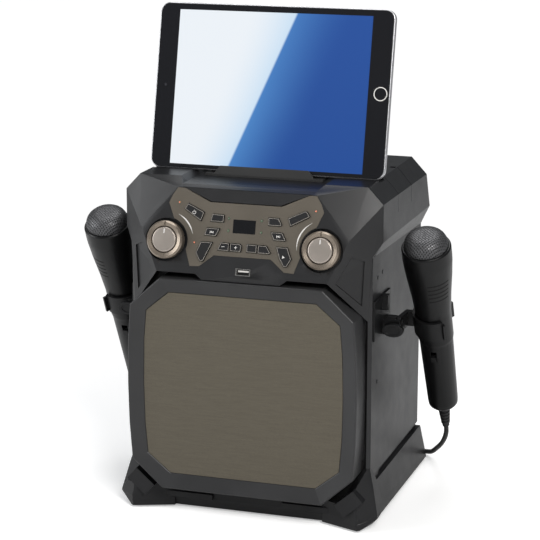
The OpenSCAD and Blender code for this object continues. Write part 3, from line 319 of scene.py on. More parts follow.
def turnedMetal(name, colour, middle, axis, roughness=0.3):
    # rings of a lathe's cut round a middle, for the knobs' caps
    recipe = Recipe(name)
    away = recipe.add("ShaderNodeVectorMath", {"operation": "SUBTRACT"},
                      {0: recipe.coordinates(), 1: tuple(middle)})
    across = recipe.add("ShaderNodeVectorMath", {"operation": "CROSS_PRODUCT"}, {0: away, 1: tuple(axis)})
    radius = recipe.add("ShaderNodeVectorMath", {"operation": "LENGTH"}, {0: across}, out="Value")
    rings = (radius * 9000.0).sine() * 0.5 + 0.5
    slow = recipe.noise(recipe.coordinates(), 70.0, 2.0)
    tone = recipe.blend(slow.band(0.3, 0.7), [c * 0.95 for c in colour],
                        [min(c * 1.05, 1.0) for c in colour])
    return recipe.finish(Base_Color=tone, Metallic=0.55, Roughness=roughness + rings * 0.08,
                         Normal=recipe.bump(rings, 0.00002))


def speakerCloth(name):
    # plain weave, with painted highlight on the threads' crowns and painted shade in the holes between
    # them, over the dark inside that shows through
    recipe = Recipe(name)
    place = recipe.coordinates()
    x, y, z = recipe.axes(place)
    wave = 2 * math.pi / 0.0017
    warp = abs((x * wave).sine())
    weft = abs((z * wave).sine())
    threads = warp.most(weft)
    fibres = recipe.noise(place, 1500.0, 2.0)
    drawn = recipe.add("ShaderNodeMapping", {}, {"Vector": place, "Scale": (0.05, 1.0, 1.0)})
    streaks = recipe.noise(drawn, 1100.0, 2.0)
    height = threads * 0.8 + fibres * 0.4
    # painted highlight on the crowns, painted shade in the holes
    weaveShading = recipe.blend(height.band(0.35, 1.05), (0.030, 0.027, 0.021), (0.142, 0.124, 0.092))
    tone = recipe.blend(streaks.band(0.35, 0.7), weaveShading, recipe.blend(0.90, (0, 0, 0), weaveShading))
    return recipe.finish(Base_Color=tone, Roughness=0.92, Normal=recipe.bump(height, 0.0002, 0.6))


def rubberBlack(name, colour=(0.014, 0.014, 0.015)):
    recipe = Recipe(name)
    place = recipe.coordinates()
    dust = recipe.noise(place, 400.0, 3.0)
    tone = recipe.blend(dust.band(0.5, 0.8), colour, [c * 1.5 for c in colour])
    return recipe.finish(Base_Color=tone, Roughness=0.5 + dust * 0.15,
                         Normal=recipe.bump(dust, 0.00003))


def glossBlack(name, colour=(0.006, 0.006, 0.008), roughness=0.06):
    recipe = Recipe(name)
    prints = recipe.noise(recipe.coordinates(), 35.0, 4.0)
    return recipe.finish(Base_Color=colour, Roughness=roughness + prints * 0.06, Coat_Weight=0.6,
                         Coat_Roughness=0.05)


def circuitBoard(name):
    recipe = Recipe(name)
    place = recipe.coordinates()
    tracks = recipe.add("ShaderNodeTexVoronoi", {"feature": "DISTANCE_TO_EDGE"},
                        {"Vector": place, "Scale": 260.0})
    mask = tracks.band(0.02, 0.06)
    tone = recipe.blend(mask, (0.055, 0.22, 0.09), (0.012, 0.085, 0.032))
    return recipe.finish(Base_Color=tone, Roughness=0.35, Normal=recipe.bump(mask, 0.00002))


def lampLens(name, colour, glow):
    recipe = Recipe(name)
    haze = recipe.noise(recipe.coordinates(), 900.0, 2.0)
    tone = recipe.blend(haze, [c * 0.9 for c in colour], colour)
    return recipe.finish(Base_Color=tone, Roughness=0.3, Emission_Color=tone, Emission_Strength=glow)


def wireMesh(name, pole, axis):
    # the microphones' woven steel heads: a square weave draped from the pole of the dome
    recipe = Recipe(name)
    away = recipe.add("ShaderNodeVectorMath", {"operation": "SUBTRACT"},
                      {0: recipe.coordinates(), 1: tuple(pole)})
    side = Vector(axis).orthogonal().normalized()
    other = Vector(axis).cross(side)
    u = away.along(side)
    v = away.along(other)
    flat = (u * u + v * v + 0.0000001).root()
    far = recipe.add("ShaderNodeVectorMath", {"operation": "LENGTH"}, {0: away}, out="Value")
    pitch = math.pi / 0.0023
    across = (u * far / flat * pitch).sine()
    down = (v * far / flat * pitch).sine()
    wires = abs(across).most(abs(down))
    knots = (across * down * 0.5 + 0.5).band(0.3, 0.9)
    raised = wires.band(0.55, 0.98)
    tone = recipe.blend(raised, (0.002, 0.002, 0.002), (0.13, 0.13, 0.135))
    return recipe.finish(Base_Color=tone, Metallic=raised * 0.8, Roughness=0.5 - knots * 0.16,
                         Normal=recipe.bump(raised, 0.0004, 0.8))


def tabletGlow(name):
    # a lit picture of no subject: a painted reflection of glare, pale at the left, the screen's own deep
    # blue at the right, with soft leaning bands between
    recipe = Recipe(name)
    x, y, z = recipe.axes(recipe.coordinates())
    lean = x * 9.6 - z * 3.9 + 1.72
    drift = recipe.noise(recipe.coordinates(), 7.0, 2.0, 0.4)
    far = (lean + (drift - 0.5) * 0.22).band(-0.42, 0.62)
    # the edge where the painted reflection of glare gives way to the screen's blue
    step = lean.band(0.02, 0.05)
    glareReflection = recipe.blend(far, (0.90, 0.95, 1.0), (0.30, 0.62, 0.93))
    deep = recipe.blend(far, (0.11, 0.36, 0.78), (0.012, 0.075, 0.33))
    high = z.band(0.34, 0.50)
    tone = recipe.blend(step, glareReflection, recipe.blend(high, deep, recipe.blend(0.25, deep, (0.02, 0.10, 0.42))))
    return recipe.finish(Base_Color=(0.01, 0.01, 0.012), Roughness=0.12, Emission_Color=tone,
                         Emission_Strength=0.92)


finishes = {
    "caseBlack": grainPlastic("caseBlack", (0.014, 0.014, 0.015), roughness=0.4),
    "headBlack": grainPlastic("headBlack", (0.010, 0.010, 0.011), roughness=0.36),
    "slopeGrey": grainPlastic("slopeGrey", (0.022, 0.022, 0.023), roughness=0.4),
    "frameGrey": grainPlastic("frameGrey", (0.034, 0.034, 0.035), roughness=0.38),
    "baseBlack": grainPlastic("baseBlack", (0.013, 0.013, 0.014), roughness=0.42),
    "cradleGrey": grainPlastic("cradleGrey", (0.036, 0.036, 0.036), roughness=0.44),
    "insideBlack": grainPlastic("insideBlack", (0.014, 0.014, 0.014), roughness=0.6),
    "buttonBlack": grainPlastic("buttonBlack", (0.013, 0.013, 0.014), roughness=0.5),
    "micBlack": grainPlastic("micBlack", (0.003, 0.003, 0.0033), roughness=0.34, grain=0.00002),
    "clipBlack": grainPlastic("clipBlack", (0.006, 0.006, 0.0065), roughness=0.4),
    "fasciaTan": brushedMetal("fasciaTan", (0.155, 0.135, 0.108), roughness=0.42, metallic=0.45),
    "ringTan": brushedMetal("ringTan", (0.30, 0.25, 0.20), roughness=0.3, metallic=0.7),
    "plated": brushedMetal("plated", (0.62, 0.60, 0.57), roughness=0.25, metallic=0.95),
    "steel": brushedMetal("steel", (0.42, 0.42, 0.42), roughness=0.32, metallic=0.95),
    "tabletSilver": brushedMetal("tabletSilver", (0.62, 0.62, 0.64), roughness=0.3, metallic=0.85),
    "basketGrey": brushedMetal("basketGrey", (0.08, 0.08, 0.08), roughness=0.45, metallic=0.5),
    "cloth": speakerCloth("cloth"),
    "rubber": rubberBlack("rubber"),
    "cordBlack": rubberBlack("cordBlack", (0.012, 0.012, 0.012)),
    "glass": glossBlack("glass"),
    "windowBlack": glossBlack("windowBlack", (0.004, 0.004, 0.005), 0.12),
    "board": circuitBoard("board"),
    "cone": grainPlastic("cone", (0.02, 0.02, 0.02), roughness=0.8, grain=0.00008),
    "magnet": grainPlastic("magnet", (0.04, 0.04, 0.04), roughness=0.7, grain=0.00006),
    "gearWhite": grainPlastic("gearWhite", (0.6, 0.59, 0.55), roughness=0.45, lift=0.04),
    "screenGlow": tabletGlow("screenGlow"),
    "lampRed": lampLens("lampRed", (0.75, 0.20, 0.14), 0.55),
    "lampDim": lampLens("lampDim", (0.22, 0.19, 0.17), 0.02),
    # near black, painted as the shade inside gaps, slots and openings
    "slit": grainPlastic("slit", (0.002, 0.002, 0.002), roughness=0.8),
    "lensGrey": glossBlack("lensGrey", (0.03, 0.03, 0.035), 0.1),
    "print": grainPlastic("print", (0.72, 0.70, 0.67), roughness=0.6, lift=0.03),
    "outline": grainPlastic("outline", (0.36, 0.33, 0.29), roughness=0.5, lift=0.03),
}
print(len(finishes), "finishes are made")


def dress(nodeName, finishName):
    # a CAD node that stays as it is, in its finish
    mesh = cadNodes[nodeName].data
    mesh.materials.clear()
    mesh.materials.append(finishes[finishName])


def bodyOf(nodeName):
    return cadNodes[nodeName]["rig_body"]


def addPiece(name, bm, finish, body, replaced=(), smooth=40.0):
    # finish is one name, or several for faces with material indices; big faces rule the shading
    mesh = bpy.data.meshes.new(name)
    bm.normal_update()
    bm.to_mesh(mesh)
    bm.free()
    for each in ([finish] if isinstance(finish, str) else finish):
        mesh.materials.append(finishes[each])
    piece = bpy.data.objects.new(name, mesh)
    scene.collection.objects.link(piece)
    if smooth:
        mesh.shade_smooth()
        mesh.set_sharp_from_angle(angle=math.radians(smooth))
        weigher = piece.modifiers.new("areaNormals", "WEIGHTED_NORMAL")
        weigher.mode = "FACE_AREA"
        weigher.weight = 50
        weigher.keep_sharp = True
        bpy.context.view_layer.update()
        weighed = piece.evaluated_get(bpy.context.evaluated_depsgraph_get())
        shaded = bpy.data.meshes.new_from_object(weighed)
        piece.modifiers.clear()
        piece.data = shaded
        shaded.name = name
        bpy.data.meshes.remove(mesh)
    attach(piece, body)
    if replaced:
        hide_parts(*replaced)
    return piece


def cleanCopy(nodeName):
    # the CAD node's mesh with its flat faces made whole again
    bm = bmesh.new()
    bm.from_mesh(cadNodes[nodeName].data)
    bmesh.ops.remove_doubles(bm, verts=bm.verts, dist=0.000004)
    bmesh.ops.dissolve_limit(bm, angle_limit=math.radians(0.6), verts=bm.verts, edges=bm.edges)
    return bm


def roundEdges(bm, edge, steps=2, corner=24.0):
    sharp = [e for e in bm.edges
             if len(e.link_faces) == 2 and e.calc_face_angle(0.0) > math.radians(corner)]
    bmesh.ops.bevel(bm, geom=sharp, offset=edge / 1000, offset_type="OFFSET", segments=steps, profile=0.5,
                    affect="EDGES", clamp_overlap=True, material=-1)


def camel(nodeName):
    parts = nodeName.split("_")
    return parts[0] + "".join(p.capitalize() for p in parts[1:])


# shells made of flat facets, which are shaded flat
flatNodes = ("cabinet_body", "base_plinth", "front_bezel", "head_shell", "grille_frame", "control_fascia",
             "tablet_cradle", "tray_front", "clip_brackets")


def softened(nodeName, finish, edge=0.4):
    # a copy of a CAD node with its sharp edges rounded, which takes the node's place
    bm = cleanCopy(nodeName)
    roundEdges(bm, edge)
    return addPiece(camel(nodeName) + "Finish", bm, finish, bodyOf(nodeName), (nodeName,),
                    11.0 if nodeName in flatNodes else 40.0)


# the sloped panel and the tablet: places on them in mm, s up the face and lift out of it
slopeSetup = {"lean": 14.1, "lowY": -7.3, "lowZ": 248.6}
slopeLean = math.radians(slopeSetup["lean"])
slopeUp = unit((0, math.sin(slopeLean), math.cos(slopeLean)))
slopeOut = unit((0, -math.cos(slopeLean), math.sin(slopeLean)))
tabletSetup = {
    "lean": 13.3, "lowY": 66, "lowZ": 333.5, "printDepth": 0.00006,
    # left, right, bottom and top of the lit picture
    "picture": (-99, 98, 4.8, 156.8),
    # x, s and radius of the lens; x, s, inner and outer radius of the button's ring
    "lens": (-109.1, 82, 1.3), "ring": (110.5, 82.6, 5.9, 6.8),
}
tabletLean = math.radians(tabletSetup["lean"])


def onSlope(x, s, lift=0.0):
    return spot(x, slopeSetup["lowY"], slopeSetup["lowZ"]) + (s * slopeUp + lift * slopeOut) / 1000


def onTablet(x, s, lift=0.0):
    return spot(x, tabletSetup["lowY"] + s * math.sin(tabletLean) - lift * math.cos(tabletLean),
                tabletSetup["lowZ"] + s * math.cos(tabletLean) + lift * math.sin(tabletLean))


def addSlab(bm, corners, thickness, material=0):
    # a thin closed slab: corners run round its outer face, and thickness is in metres
    front = [bm.verts.new(c) for c in corners]
    first, second, third = (Vector(c) for c in corners[:3])
    normal = (second - first).cross(third - second).normalized()
    back = [bm.verts.new(Vector(c) - normal * thickness) for c in corners]
    made = [bm.faces.new(front), bm.faces.new(back[::-1])]
    for i in range(len(front)):
        j = (i + 1) % len(front)
        made.append(bm.faces.new((front[j], front[i], back[i], back[j])))
    for face in made:
        face.material_index = material


def addRibbon(bm, place, inner, outer, closed, thickness, material=0):
    # a band of short slabs between two lines of (x, s) points
    count = len(inner) if closed else len(inner) - 1
    for i in range(count):
        j = (i + 1) % len(inner)
        corners = [place(*inner[i]), place(*outer[i]), place(*outer[j]), place(*inner[j])]
        addSlab(bm, corners, thickness, material)


def arcLine(x, s, radius, start, end, steps):
    angles = [math.radians(start + (end - start) * i / steps) for i in range(steps + 1)]
    return [(x + radius * math.cos(angle), s + radius * math.sin(angle)) for angle in angles]


# signs on the buttons, as outlines in mm round the button's middle
signs = {
    "previous": [[(-1.9, -1.2), (-1.45, -1.2), (-1.45, 1.2), (-1.9, 1.2)],
                 [(-1.3, 0), (0.1, -1.2), (0.1, 1.2)], [(0.2, 0), (1.6, -1.2), (1.6, 1.2)]],
    "next": [[(1.45, -1.2), (1.9, -1.2), (1.9, 1.2), (1.45, 1.2)],
             [(-0.1, 1.2), (-0.1, -1.2), (1.3, 0)], [(-1.6, 1.2), (-1.6, -1.2), (-0.2, 0)]],
    "play": [[(-1.0, 1.5), (-1.0, -1.5), (1.5, 0)]],
    "minus": [[(-1.5, -0.25), (1.5, -0.25), (1.5, 0.25), (-1.5, 0.25)]],
    "plus": [[(-1.5, -0.25), (1.5, -0.25), (1.5, 0.25), (-1.5, 0.25)],
             [(-0.25, -1.5), (0.25, -1.5), (0.25, -0.26), (-0.25, -0.26)],
             [(-0.25, 0.26), (0.25, 0.26), (0.25, 1.5), (-0.25, 1.5)]],
}


# in metres: the bare margin of a button, its printed line, and the depth of the print
buttonSetup = {"margin": 0.00042, "line": 0.00034, "printDepth": 0.00006, "edge": 0.28}
powerSign = {"middle": -0.2, "inner": 1.35, "outer": 1.8, "start": 125, "end": 415}


def buildButton(word):
    # a rounded cap with a printed outline, and a sign on the ones that have it
    nodeName = "button_" + word
    depth = buttonSetup["printDepth"]
    bm = cleanCopy(nodeName)
    top = max((f for f in bm.faces if f.normal.dot(slopeOut) > 0.99),
              key=lambda f: f.calc_area() + 1000 * f.calc_center_median().dot(slopeOut) * f.calc_area())
    middle = top.calc_center_bounds()
    bmesh.ops.inset_individual(bm, faces=[top], thickness=buttonSetup["margin"], use_even_offset=True)
    line = bmesh.ops.inset_individual(bm, faces=[top], thickness=buttonSetup["line"], use_even_offset=True)
    for face in line["faces"]:
        face.material_index = 1
    roundEdges(bm, buttonSetup["edge"])

    def onCap(x, s):
        return middle + (x * Vector((1, 0, 0)) + s * slopeUp + 0.05 * slopeOut) / 1000

    for outline in signs.get(word, []):
        addSlab(bm, [onCap(x, s) for x, s in outline], depth, 2)
    if word == "power":
        ring = [arcLine(0, powerSign["middle"], powerSign[rim], powerSign["start"], powerSign["end"], 20)
                for rim in ("inner", "outer")]
        addRibbon(bm, onCap, ring[0], ring[1], False, depth, 2)
        addSlab(bm, [onCap(-0.22, 0.1), onCap(0.22, 0.1), onCap(0.22, 2.0), onCap(-0.22, 2.0)], depth, 2)
    return addPiece(camel(nodeName) + "Finish", bm, ("buttonBlack", "outline", "print"),
                    bodyOf(nodeName), (nodeName,))


knobSetup = {
    "x": 78, "s": 28.7, "edge": 0.3,
    # the tick on the cap: half its width, where it starts and ends, and its height at both ends
    "tick": (0.55, 6.0, 10.4), "tickLifts": (7.62, 7.3),
}
# name: side, angle and radius where the crescent starts, angle and radius where it ends
scaleSetup = {"leftScale": (-1, 67, 27.6, 15, 27.6), "rightScale": (1, 113, 27.6, 183, 24.4)}


def buildScales():
    # crescents beside the knobs, thickest in their middles
    steps = 30
    for name, (side, start, startRadius, end, endRadius) in scaleSetup.items():
        bm = bmesh.new()
        x = side * knobSetup["x"]
        inner, outer = [], []
        for i in range(steps + 1):
            t = i / steps
            angle = math.radians(start + (end - start) * t)
            radius = startRadius + (endRadius - startRadius) * t
            half = 0.08 + 0.62 * math.sin(math.pi * t) ** 1.4
            for line, reach in ((inner, radius - half), (outer, radius + half)):
                line.append((x + reach * math.cos(angle), knobSetup["s"] + reach * math.sin(angle)))
        first, second = (inner, outer) if end > start else (outer, inner)
        addRibbon(bm, lambda u, v: onSlope(u, v, 0.06), first, second, False, 0.0001)
        addPiece(name, bm, "print", "cabinet", smooth=0)


# mm from the toes: the painted shade sheets' span beside the middle, and the planes that they lie in
shadeSheetSetup = {"near": 76, "far": 115, "frontY": 11, "backY": 21.0, "lowZ": 14, "highZ": 66, "shelfZ": 25.5,
               "shelfBackY": 21.5, "depth": 0.0008}


def buildCornerLiners():
    # dark sheets painted as shade behind the speaker frame's lower corners, over the base
    setup = shadeSheetSetup
    for word, side in sides.items():
        bm = bmesh.new()
        low, high = sorted((side * setup["near"], side * setup["far"]))
        wall = [(low, setup["lowZ"]), (high, setup["lowZ"]), (high, setup["highZ"]), (low, setup["highZ"])]
        addSlab(bm, [spot(x, setup["backY"], z) for x, z in wall], setup["depth"])
        shelf = [(low, setup["frontY"]), (high, setup["frontY"]), (high, setup["shelfBackY"]),
                 (low, setup["shelfBackY"])]
        addSlab(bm, [spot(x, y, setup["shelfZ"]) for x, y in shelf], setup["depth"])
        addPiece(word + "CornerLining", bm, "slit", "cabinet", smooth=0)


socketSetup = {
    # name: finish, half its width, bottom, top and height over the panel, in mm
    # the mouth is a near-black sheet, painted shade inside the socket
    "socketMouthShade": ("slit", 6.2, 0.15, 5.25, -1.4),
    "socketTongue": ("print", 5.4, 2.9, 4.5, -1.25),
}
socketX = 2


def buildSocketMouth():
    # the USB socket's mouth, a dark sheet painted as the shade inside the opening, and its pale tongue
    for name, (finish, wide, low, high, lift) in socketSetup.items():
        bm = bmesh.new()
        corners = [(-wide, low), (wide, low), (wide, high), (-wide, high)]
        addSlab(bm, [onSlope(socketX + x, s, lift) for x, s in corners], 0.0001)
        addPiece(name, bm, finish, "cabinet", smooth=0)


# x and s of the panel's small lamps, lit ones first
lampSpots = {"lampRed": ((-67, 65.5), (-49.1, 28), (69.7, 65.4)),
             "lampDim": ((-16, 53), (-16, 41.5), (17, 53), (17, 41.5))}


def buildLenses():
    # domed lenses over the small lamps of the panel
    turn = Vector((0, 0, 1)).rotation_difference(slopeOut).to_matrix().to_4x4()
    number = 0
    for finish, places in lampSpots.items():
        for x, s in places:
            number += 1
            bm = bmesh.new()
            bmesh.ops.create_uvsphere(bm, u_segments=20, v_segments=10, radius=0.00118)
            bmesh.ops.transform(bm, verts=bm.verts, matrix=Matrix.Translation(onSlope(x, s, -0.62)) @ turn)
            addPiece("lens" + str(number), bm, finish, "cabinet")


def buildKnobCap(word, x):
    # a turned cap with a light tick at the top
    nodeName = "knob_cap_" + word
    half, start, end = knobSetup["tick"]
    low, high = knobSetup["s"] + start, knobSetup["s"] + end
    innerLift, outerLift = knobSetup["tickLifts"]
    bm = cleanCopy(nodeName)
    roundEdges(bm, knobSetup["edge"])
    addSlab(bm, [onSlope(x - half, low, innerLift), onSlope(x + half, low, innerLift),
                 onSlope(x + half, high, outerLift), onSlope(x - half, high, outerLift)], 0.0003, 1)
    return addPiece(camel(nodeName) + "Finish", bm, ("cap" + word.capitalize(), "print"),
                    bodyOf(nodeName), (nodeName,))


def buildTablet():
    # the lit picture, the lens and the ring of the button, all on the glass
    depth = tabletSetup["printDepth"]
    left, right, bottom, top = tabletSetup["picture"]
    bm = bmesh.new()
    corners = [(left, bottom), (right, bottom), (right, top), (left, top)]
    addSlab(bm, [onTablet(x, s, 0.03) for x, s in corners], depth)
    # the picture carries a painted reflection of glare at its left
    addPiece("tabletPicture", bm, "screenGlow", "tablet", smooth=0)
    bm = bmesh.new()
    addSlab(bm, [onTablet(x, s, 0.03) for x, s in arcLine(*tabletSetup["lens"], 0, 345, 23)], depth)
    addPiece("tabletLens", bm, "lensGrey", "tablet", smooth=0)
    bm = bmesh.new()
    x, s, inner, outer = tabletSetup["ring"]
    addRibbon(bm, lambda u, v: onTablet(u, v, 0.04), arcLine(x, s, inner, 0, 352.5, 47),
              arcLine(x, s, outer, 0, 352.5, 47), True, depth)
    addPiece("tabletButtonRing", bm, "print", "tablet", smooth=0)


# microphones: places round the handle's axis, in mm from its tail
micSetup = {
    "x": 164, "tailY": 150, "tailZ": 90, "lean": 26, "top": 221,
    # how far up the handle, and the head's radius there
    "head": [(148, 19.7), (171, 22.4), (187, 23.8), (192, 24.0)],
    "slits": 5, "firstSlit": 150, "slitStep": 5.2, "slitHeight": 1.5, "slitDepth": 0.0003,
    # degrees round the handle from the front to the slits' middle, and from there to their ends
    "slitMiddle": 38, "slitReach": 30,
}
micLean = math.radians(micSetup["lean"])
micUp = unit((0, -math.sin(micLean), math.cos(micLean)))
micOut = unit((0, -math.cos(micLean), -math.sin(micLean)))


def onMic(side, along, angle, radius):
    # angle runs from the front towards the machine's right
    around = math.cos(angle) * micOut + math.sin(angle) * Vector((1, 0, 0))
    tail = spot(side * micSetup["x"], micSetup["tailY"], micSetup["tailZ"])
    return tail + (along * micUp + radius * around) / 1000


def headRadius(along):
    outline = micSetup["head"]
    for (a, ra), (b, rb) in zip(outline, outline[1:]):
        if a <= along <= b:
            return ra + (rb - ra) * (along - a) / (b - a)
    return outline[-1][1]


def buildSlits(word, side):
    # shallow slots across the front of each microphone's cone, drawn as dark sheets on the surface that
    # paint the shade inside them
    bm = bmesh.new()
    middle = math.radians(micSetup["slitMiddle"] * side)
    reach = micSetup["slitReach"]
    for k in range(micSetup["slits"]):
        low = micSetup["firstSlit"] + k * micSetup["slitStep"]
        rows = []
        for along in (low, low + micSetup["slitHeight"]):
            rows.append([onMic(side, along, middle + math.radians(a), headRadius(along) + 0.05)
                         for a in range(-reach, reach + 1, 6)])
        for i in range(len(rows[0]) - 1):
            addSlab(bm, [rows[0][i], rows[0][i + 1], rows[1][i + 1], rows[1][i]], micSetup["slitDepth"])
    bmesh.ops.recalc_face_normals(bm, faces=bm.faces)
    addPiece(word + "MicrophoneSlits", bm, "slit", "mic_" + word, smooth=0)


# microphone cord and coil
cordSetup = {
    "thickness": 5.0,
    # from the end of the strain relief down behind the base, in mm from the feet's toes
    "route": [(164, 163.2, 63), (163.9, 166, 57.5), (162.9, 169.8, 52.2), (160.6, 176, 45.6),
              (156, 186, 36.6), (150.4, 197, 28.4), (144.2, 209, 20.6), (138.6, 220, 13.8),
              (133.2, 230.5, 8.4), (126.5, 238.5, 5.2), (117, 242.6, 3.4), (105, 244, 2.6),
              (93, 244, 2.5), (81, 244, 2.5), (69.5, 244, 2.5), (58, 244, 2.5)],
    "inside": [(164, 130.3, 130.4), (164, 140.4, 109.8), (164, 150, 90), (164, 156.6, 76.5),
               (164, 163.2, 63)],
    "coilMiddle": (52, 282), "coilOuter": 38.0, "coilPitch": 5.5, "turns": 4, "layers": 4,
    "tail": [(46, 244, 18.8), (36, 243.8, 17), (24, 243.5, 13.5), (12, 243.2, 9.5), (2, 243, 6.8),
             (-6, 243, 6), (-12, 243, 6)],
    # two places on the cord, the end of the strain relief and low behind the base; buildCord turns them
    # into points and uses them no further
    "blendLow": (126, 238, 6), "blendHigh": (164, 163.2, 63),
}


def coilPoint(turn):
    # the turns spiral in and out, and climb a layer in the half turn where the spiral reverses
    setup = cordSetup
    layer = math.floor(turn / setup["turns"])
    along = turn - layer * setup["turns"]
    inward = along if layer % 2 == 0 else setup["turns"] - along
    radius = setup["coilOuter"] - setup["coilPitch"] * inward
    near = math.floor(turn / setup["turns"] + 0.5)
    past = turn - near * setup["turns"]
    if 0 < near < setup["layers"] and abs(past) < 0.25:
        step = 0.5 + 2 * past
    else:
        step = 0 if past < 0 else 1
    height = min(setup["layers"] - 1, max(0, near - 1 + step))
    angle = math.radians(-90 - 360 * turn)
    x, row = setup["coilMiddle"]
    return (x + radius * math.cos(angle), row + radius * math.sin(angle),
            setup["thickness"] / 2 + setup["coilPitch"] * height)


def eased(points, steps=3):
    # a smooth line through the points, with a few more between each two
    line = []
    for i in range(len(points) - 1):
        a, b = Vector(points[i]), Vector(points[i + 1])
        before = Vector(points[i - 1]) if i else a * 2 - b
        after = Vector(points[i + 2]) if i + 2 < len(points) else b * 2 - a
        for k in range(steps):
            t = k / steps
            line.append(0.5 * ((2 * a) + (b - before) * t + (2 * before - 5 * a + 4 * b - after) * t ** 2
                               + (3 * a - before - 3 * b + after) * t ** 3))
    line.append(Vector(points[-1]))
    return line


def tubeMesh(name, path, radius, sides=3):
    # a curve with a round bevel, made a mesh
    curve = bpy.data.curves.new(name, "CURVE")
    curve.dimensions = "3D"
    curve.bevel_depth = radius
    curve.bevel_resolution = sides
    curve.use_fill_caps = True
    spline = curve.splines.new("POLY")
    spline.points.add(len(path) - 1)
    for point, place in zip(spline.points, path):
        point.co = (*place, 1.0)
    carrier = bpy.data.objects.new(name, curve)
    scene.collection.objects.link(carrier)
    bpy.context.view_layer.update()
    mesh = bpy.data.meshes.new_from_object(carrier)
    bpy.data.objects.remove(carrier)
    mesh.name = name
    mesh.materials.clear()
    mesh.shade_smooth()
    return mesh


def buildCord():
    setup = cordSetup
    radius = setup["thickness"] / 2000
    turns = setup["turns"] * setup["layers"]
    free = eased(setup["route"])
    coil = [Vector(coilPoint(i / 24)) for i in range(24 * turns + 1)]
    tail = eased([coilPoint(turns)] + setup["tail"])
    path = [spot(*p) for p in free[:-1] + coil + tail[1:]]
    mesh = tubeMesh("microphoneCord", path, radius)
    mesh.materials.append(finishes["cordBlack"])
    cord = bpy.data.objects.new("microphoneCord", mesh)
    scene.collection.objects.link(cord)
    lowEnd = spot(*setup["blendLow"])
    highEnd = spot(*setup["blendHigh"])
    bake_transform(cord)
    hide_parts("mic_cord", "cord_coil")
    # the stretch inside the handle, which covers the gap when the microphone is lifted
    stubMesh = tubeMesh("cordInHandle", [spot(*p) for p in setup["inside"]], radius)
    stubMesh.materials.append(finishes["cordBlack"])
    stub = bpy.data.objects.new("cordInHandle", stubMesh)
    scene.collection.objects.link(stub)
    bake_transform(stub)
    tie = buildTie(setup)


def buildTie(setup):
    # a hook and loop strap round the coil's turns, on the side away from the machine
    turnsIn = setup["turns"]
    outer = setup["coilOuter"] - setup["coilPitch"] / 2 + setup["thickness"] / 2 + 0.2
    inner = setup["coilOuter"] - setup["coilPitch"] * turnsIn - setup["thickness"] / 2 - 0.4
    top = setup["thickness"] + setup["coilPitch"] * (setup["layers"] - 1) + 0.4
    bm = bmesh.new()
    loop = [(inner, 0.9), (outer, 0.9), (outer + 0.9, 1.9), (outer + 0.9, top - 1.2),
            (outer - 1.5, top + 0.3), (inner + 1.5, top + 0.3), (inner - 0.9, top - 1.2),
            (inner - 0.9, 1.9)]
    middleX, middleRow = setup["coilMiddle"]
    rim = [bm.verts.new(spot(middleX - 6.5, middleRow + r, z)) for r, z in loop]
    edges = [bm.edges.new((rim[i], rim[(i + 1) % len(rim)])) for i in range(len(rim))]
    made = bmesh.ops.extrude_edge_only(bm, edges=edges)
    moved = [v for v in made["geom"] if isinstance(v, bmesh.types.BMVert)]
    bmesh.ops.translate(bm, vec=(0.013, 0, 0), verts=moved)
    bmesh.ops.recalc_face_normals(bm, faces=bm.faces)
    bmesh.ops.solidify(bm, geom=bm.faces[:], thickness=-0.0007)
    bmesh.ops.recalc_face_normals(bm, faces=bm.faces)
    return addPiece("coilTie", bm, "clipBlack", "cabinet")


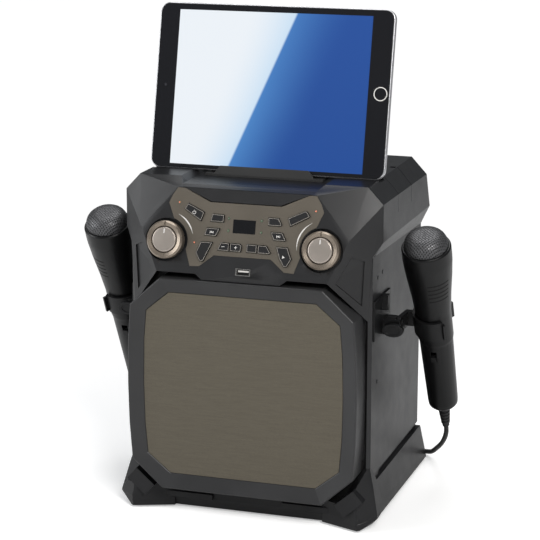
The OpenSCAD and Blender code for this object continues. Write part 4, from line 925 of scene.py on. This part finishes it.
# which node has which finish
nodeFinishes = {
    "rear_panel": "insideBlack", "rubber_feet": "rubber", "usb_socket": "plated",
    "display_window": "windowBlack", "control_board": "board", "grille_cloth": "cloth",
    "woofer_basket": "basketGrey", "woofer_magnet": "magnet", "woofer_cone": "cone",
    "main_board": "board", "power_supply": "board", "rear_jacks": "plated", "disc_tray": "insideBlack",
    "loader_frame": "insideBlack", "turntable": "clipBlack", "pickup_sled": "clipBlack",
    "guide_rods": "steel", "tray_gear": "gearWhite", "mic_switch_left": "clipBlack",
    "mic_switch_right": "clipBlack", "mic_strain_relief": "rubber", "mic_plug": "plated",
    "case_screws": "clipBlack",
}
softPieces = {
    # node: finish, radius of its edges in mm
    "cabinet_body": ("caseBlack", 0.8), "base_plinth": ("baseBlack", 0.7),
    "front_bezel": ("slopeGrey", 0.5), "head_shell": ("headBlack", 0.9),
    "tablet_cradle": ("cradleGrey", 0.5), "control_fascia": ("fasciaTan", 0.3),
    "grille_frame": ("frameGrey", 0.7), "tray_front": ("slopeGrey", 0.3),
    "knob_left": ("ringTan", 0.4), "knob_right": ("ringTan", 0.4), "clip_brackets": ("clipBlack", 0.4),
    "mic_clip_left": ("clipBlack", 0.5), "mic_clip_right": ("clipBlack", 0.5),
    "thumb_screw_left": ("clipBlack", 0.5), "thumb_screw_right": ("clipBlack", 0.5),
    "mic_body_left": ("micBlack", 0.3), "mic_body_right": ("micBlack", 0.3),
    "tablet_housing": ("tabletSilver", 1.2), "tablet_screen": ("glass", 0.4),
}
buttonWords = ("power", "mode", "previous", "echo", "minus", "plus", "mute", "repeat", "program", "next",
               "play", "tray")
for word, side in sides.items():
    cap = "cap" + word.capitalize()
    middle = onSlope(side * knobSetup["x"], knobSetup["s"])
    finishes[cap] = turnedMetal(cap, (0.44, 0.39, 0.345), middle, slopeOut)
    weave = "weave" + word.capitalize()
    finishes[weave] = wireMesh(weave, onMic(side, micSetup["top"], 0, 0), micUp)

placeCamera()
placeLamps()
placeFloor()
print("camera, lamps and floor are in place")
buildCord()
print("the cord is made")
for nodeName, finishName in nodeFinishes.items():
    dress(nodeName, finishName)
for nodeName, (finishName, edge) in softPieces.items():
    softened(nodeName, finishName, edge)
print("the shells are rounded and dressed")
for word in buttonWords:
    buildButton(word)
buildScales()
buildCornerLiners()
buildSocketMouth()
buildLenses()
buildTablet()
for word, side in sides.items():
    buildKnobCap(word, side * knobSetup["x"])
    softened("mic_grille_" + word, "weave" + word.capitalize(), 0.1)
    buildSlits(word, side)
print("buttons, scales, lenses, tablet, caps and microphones are made")
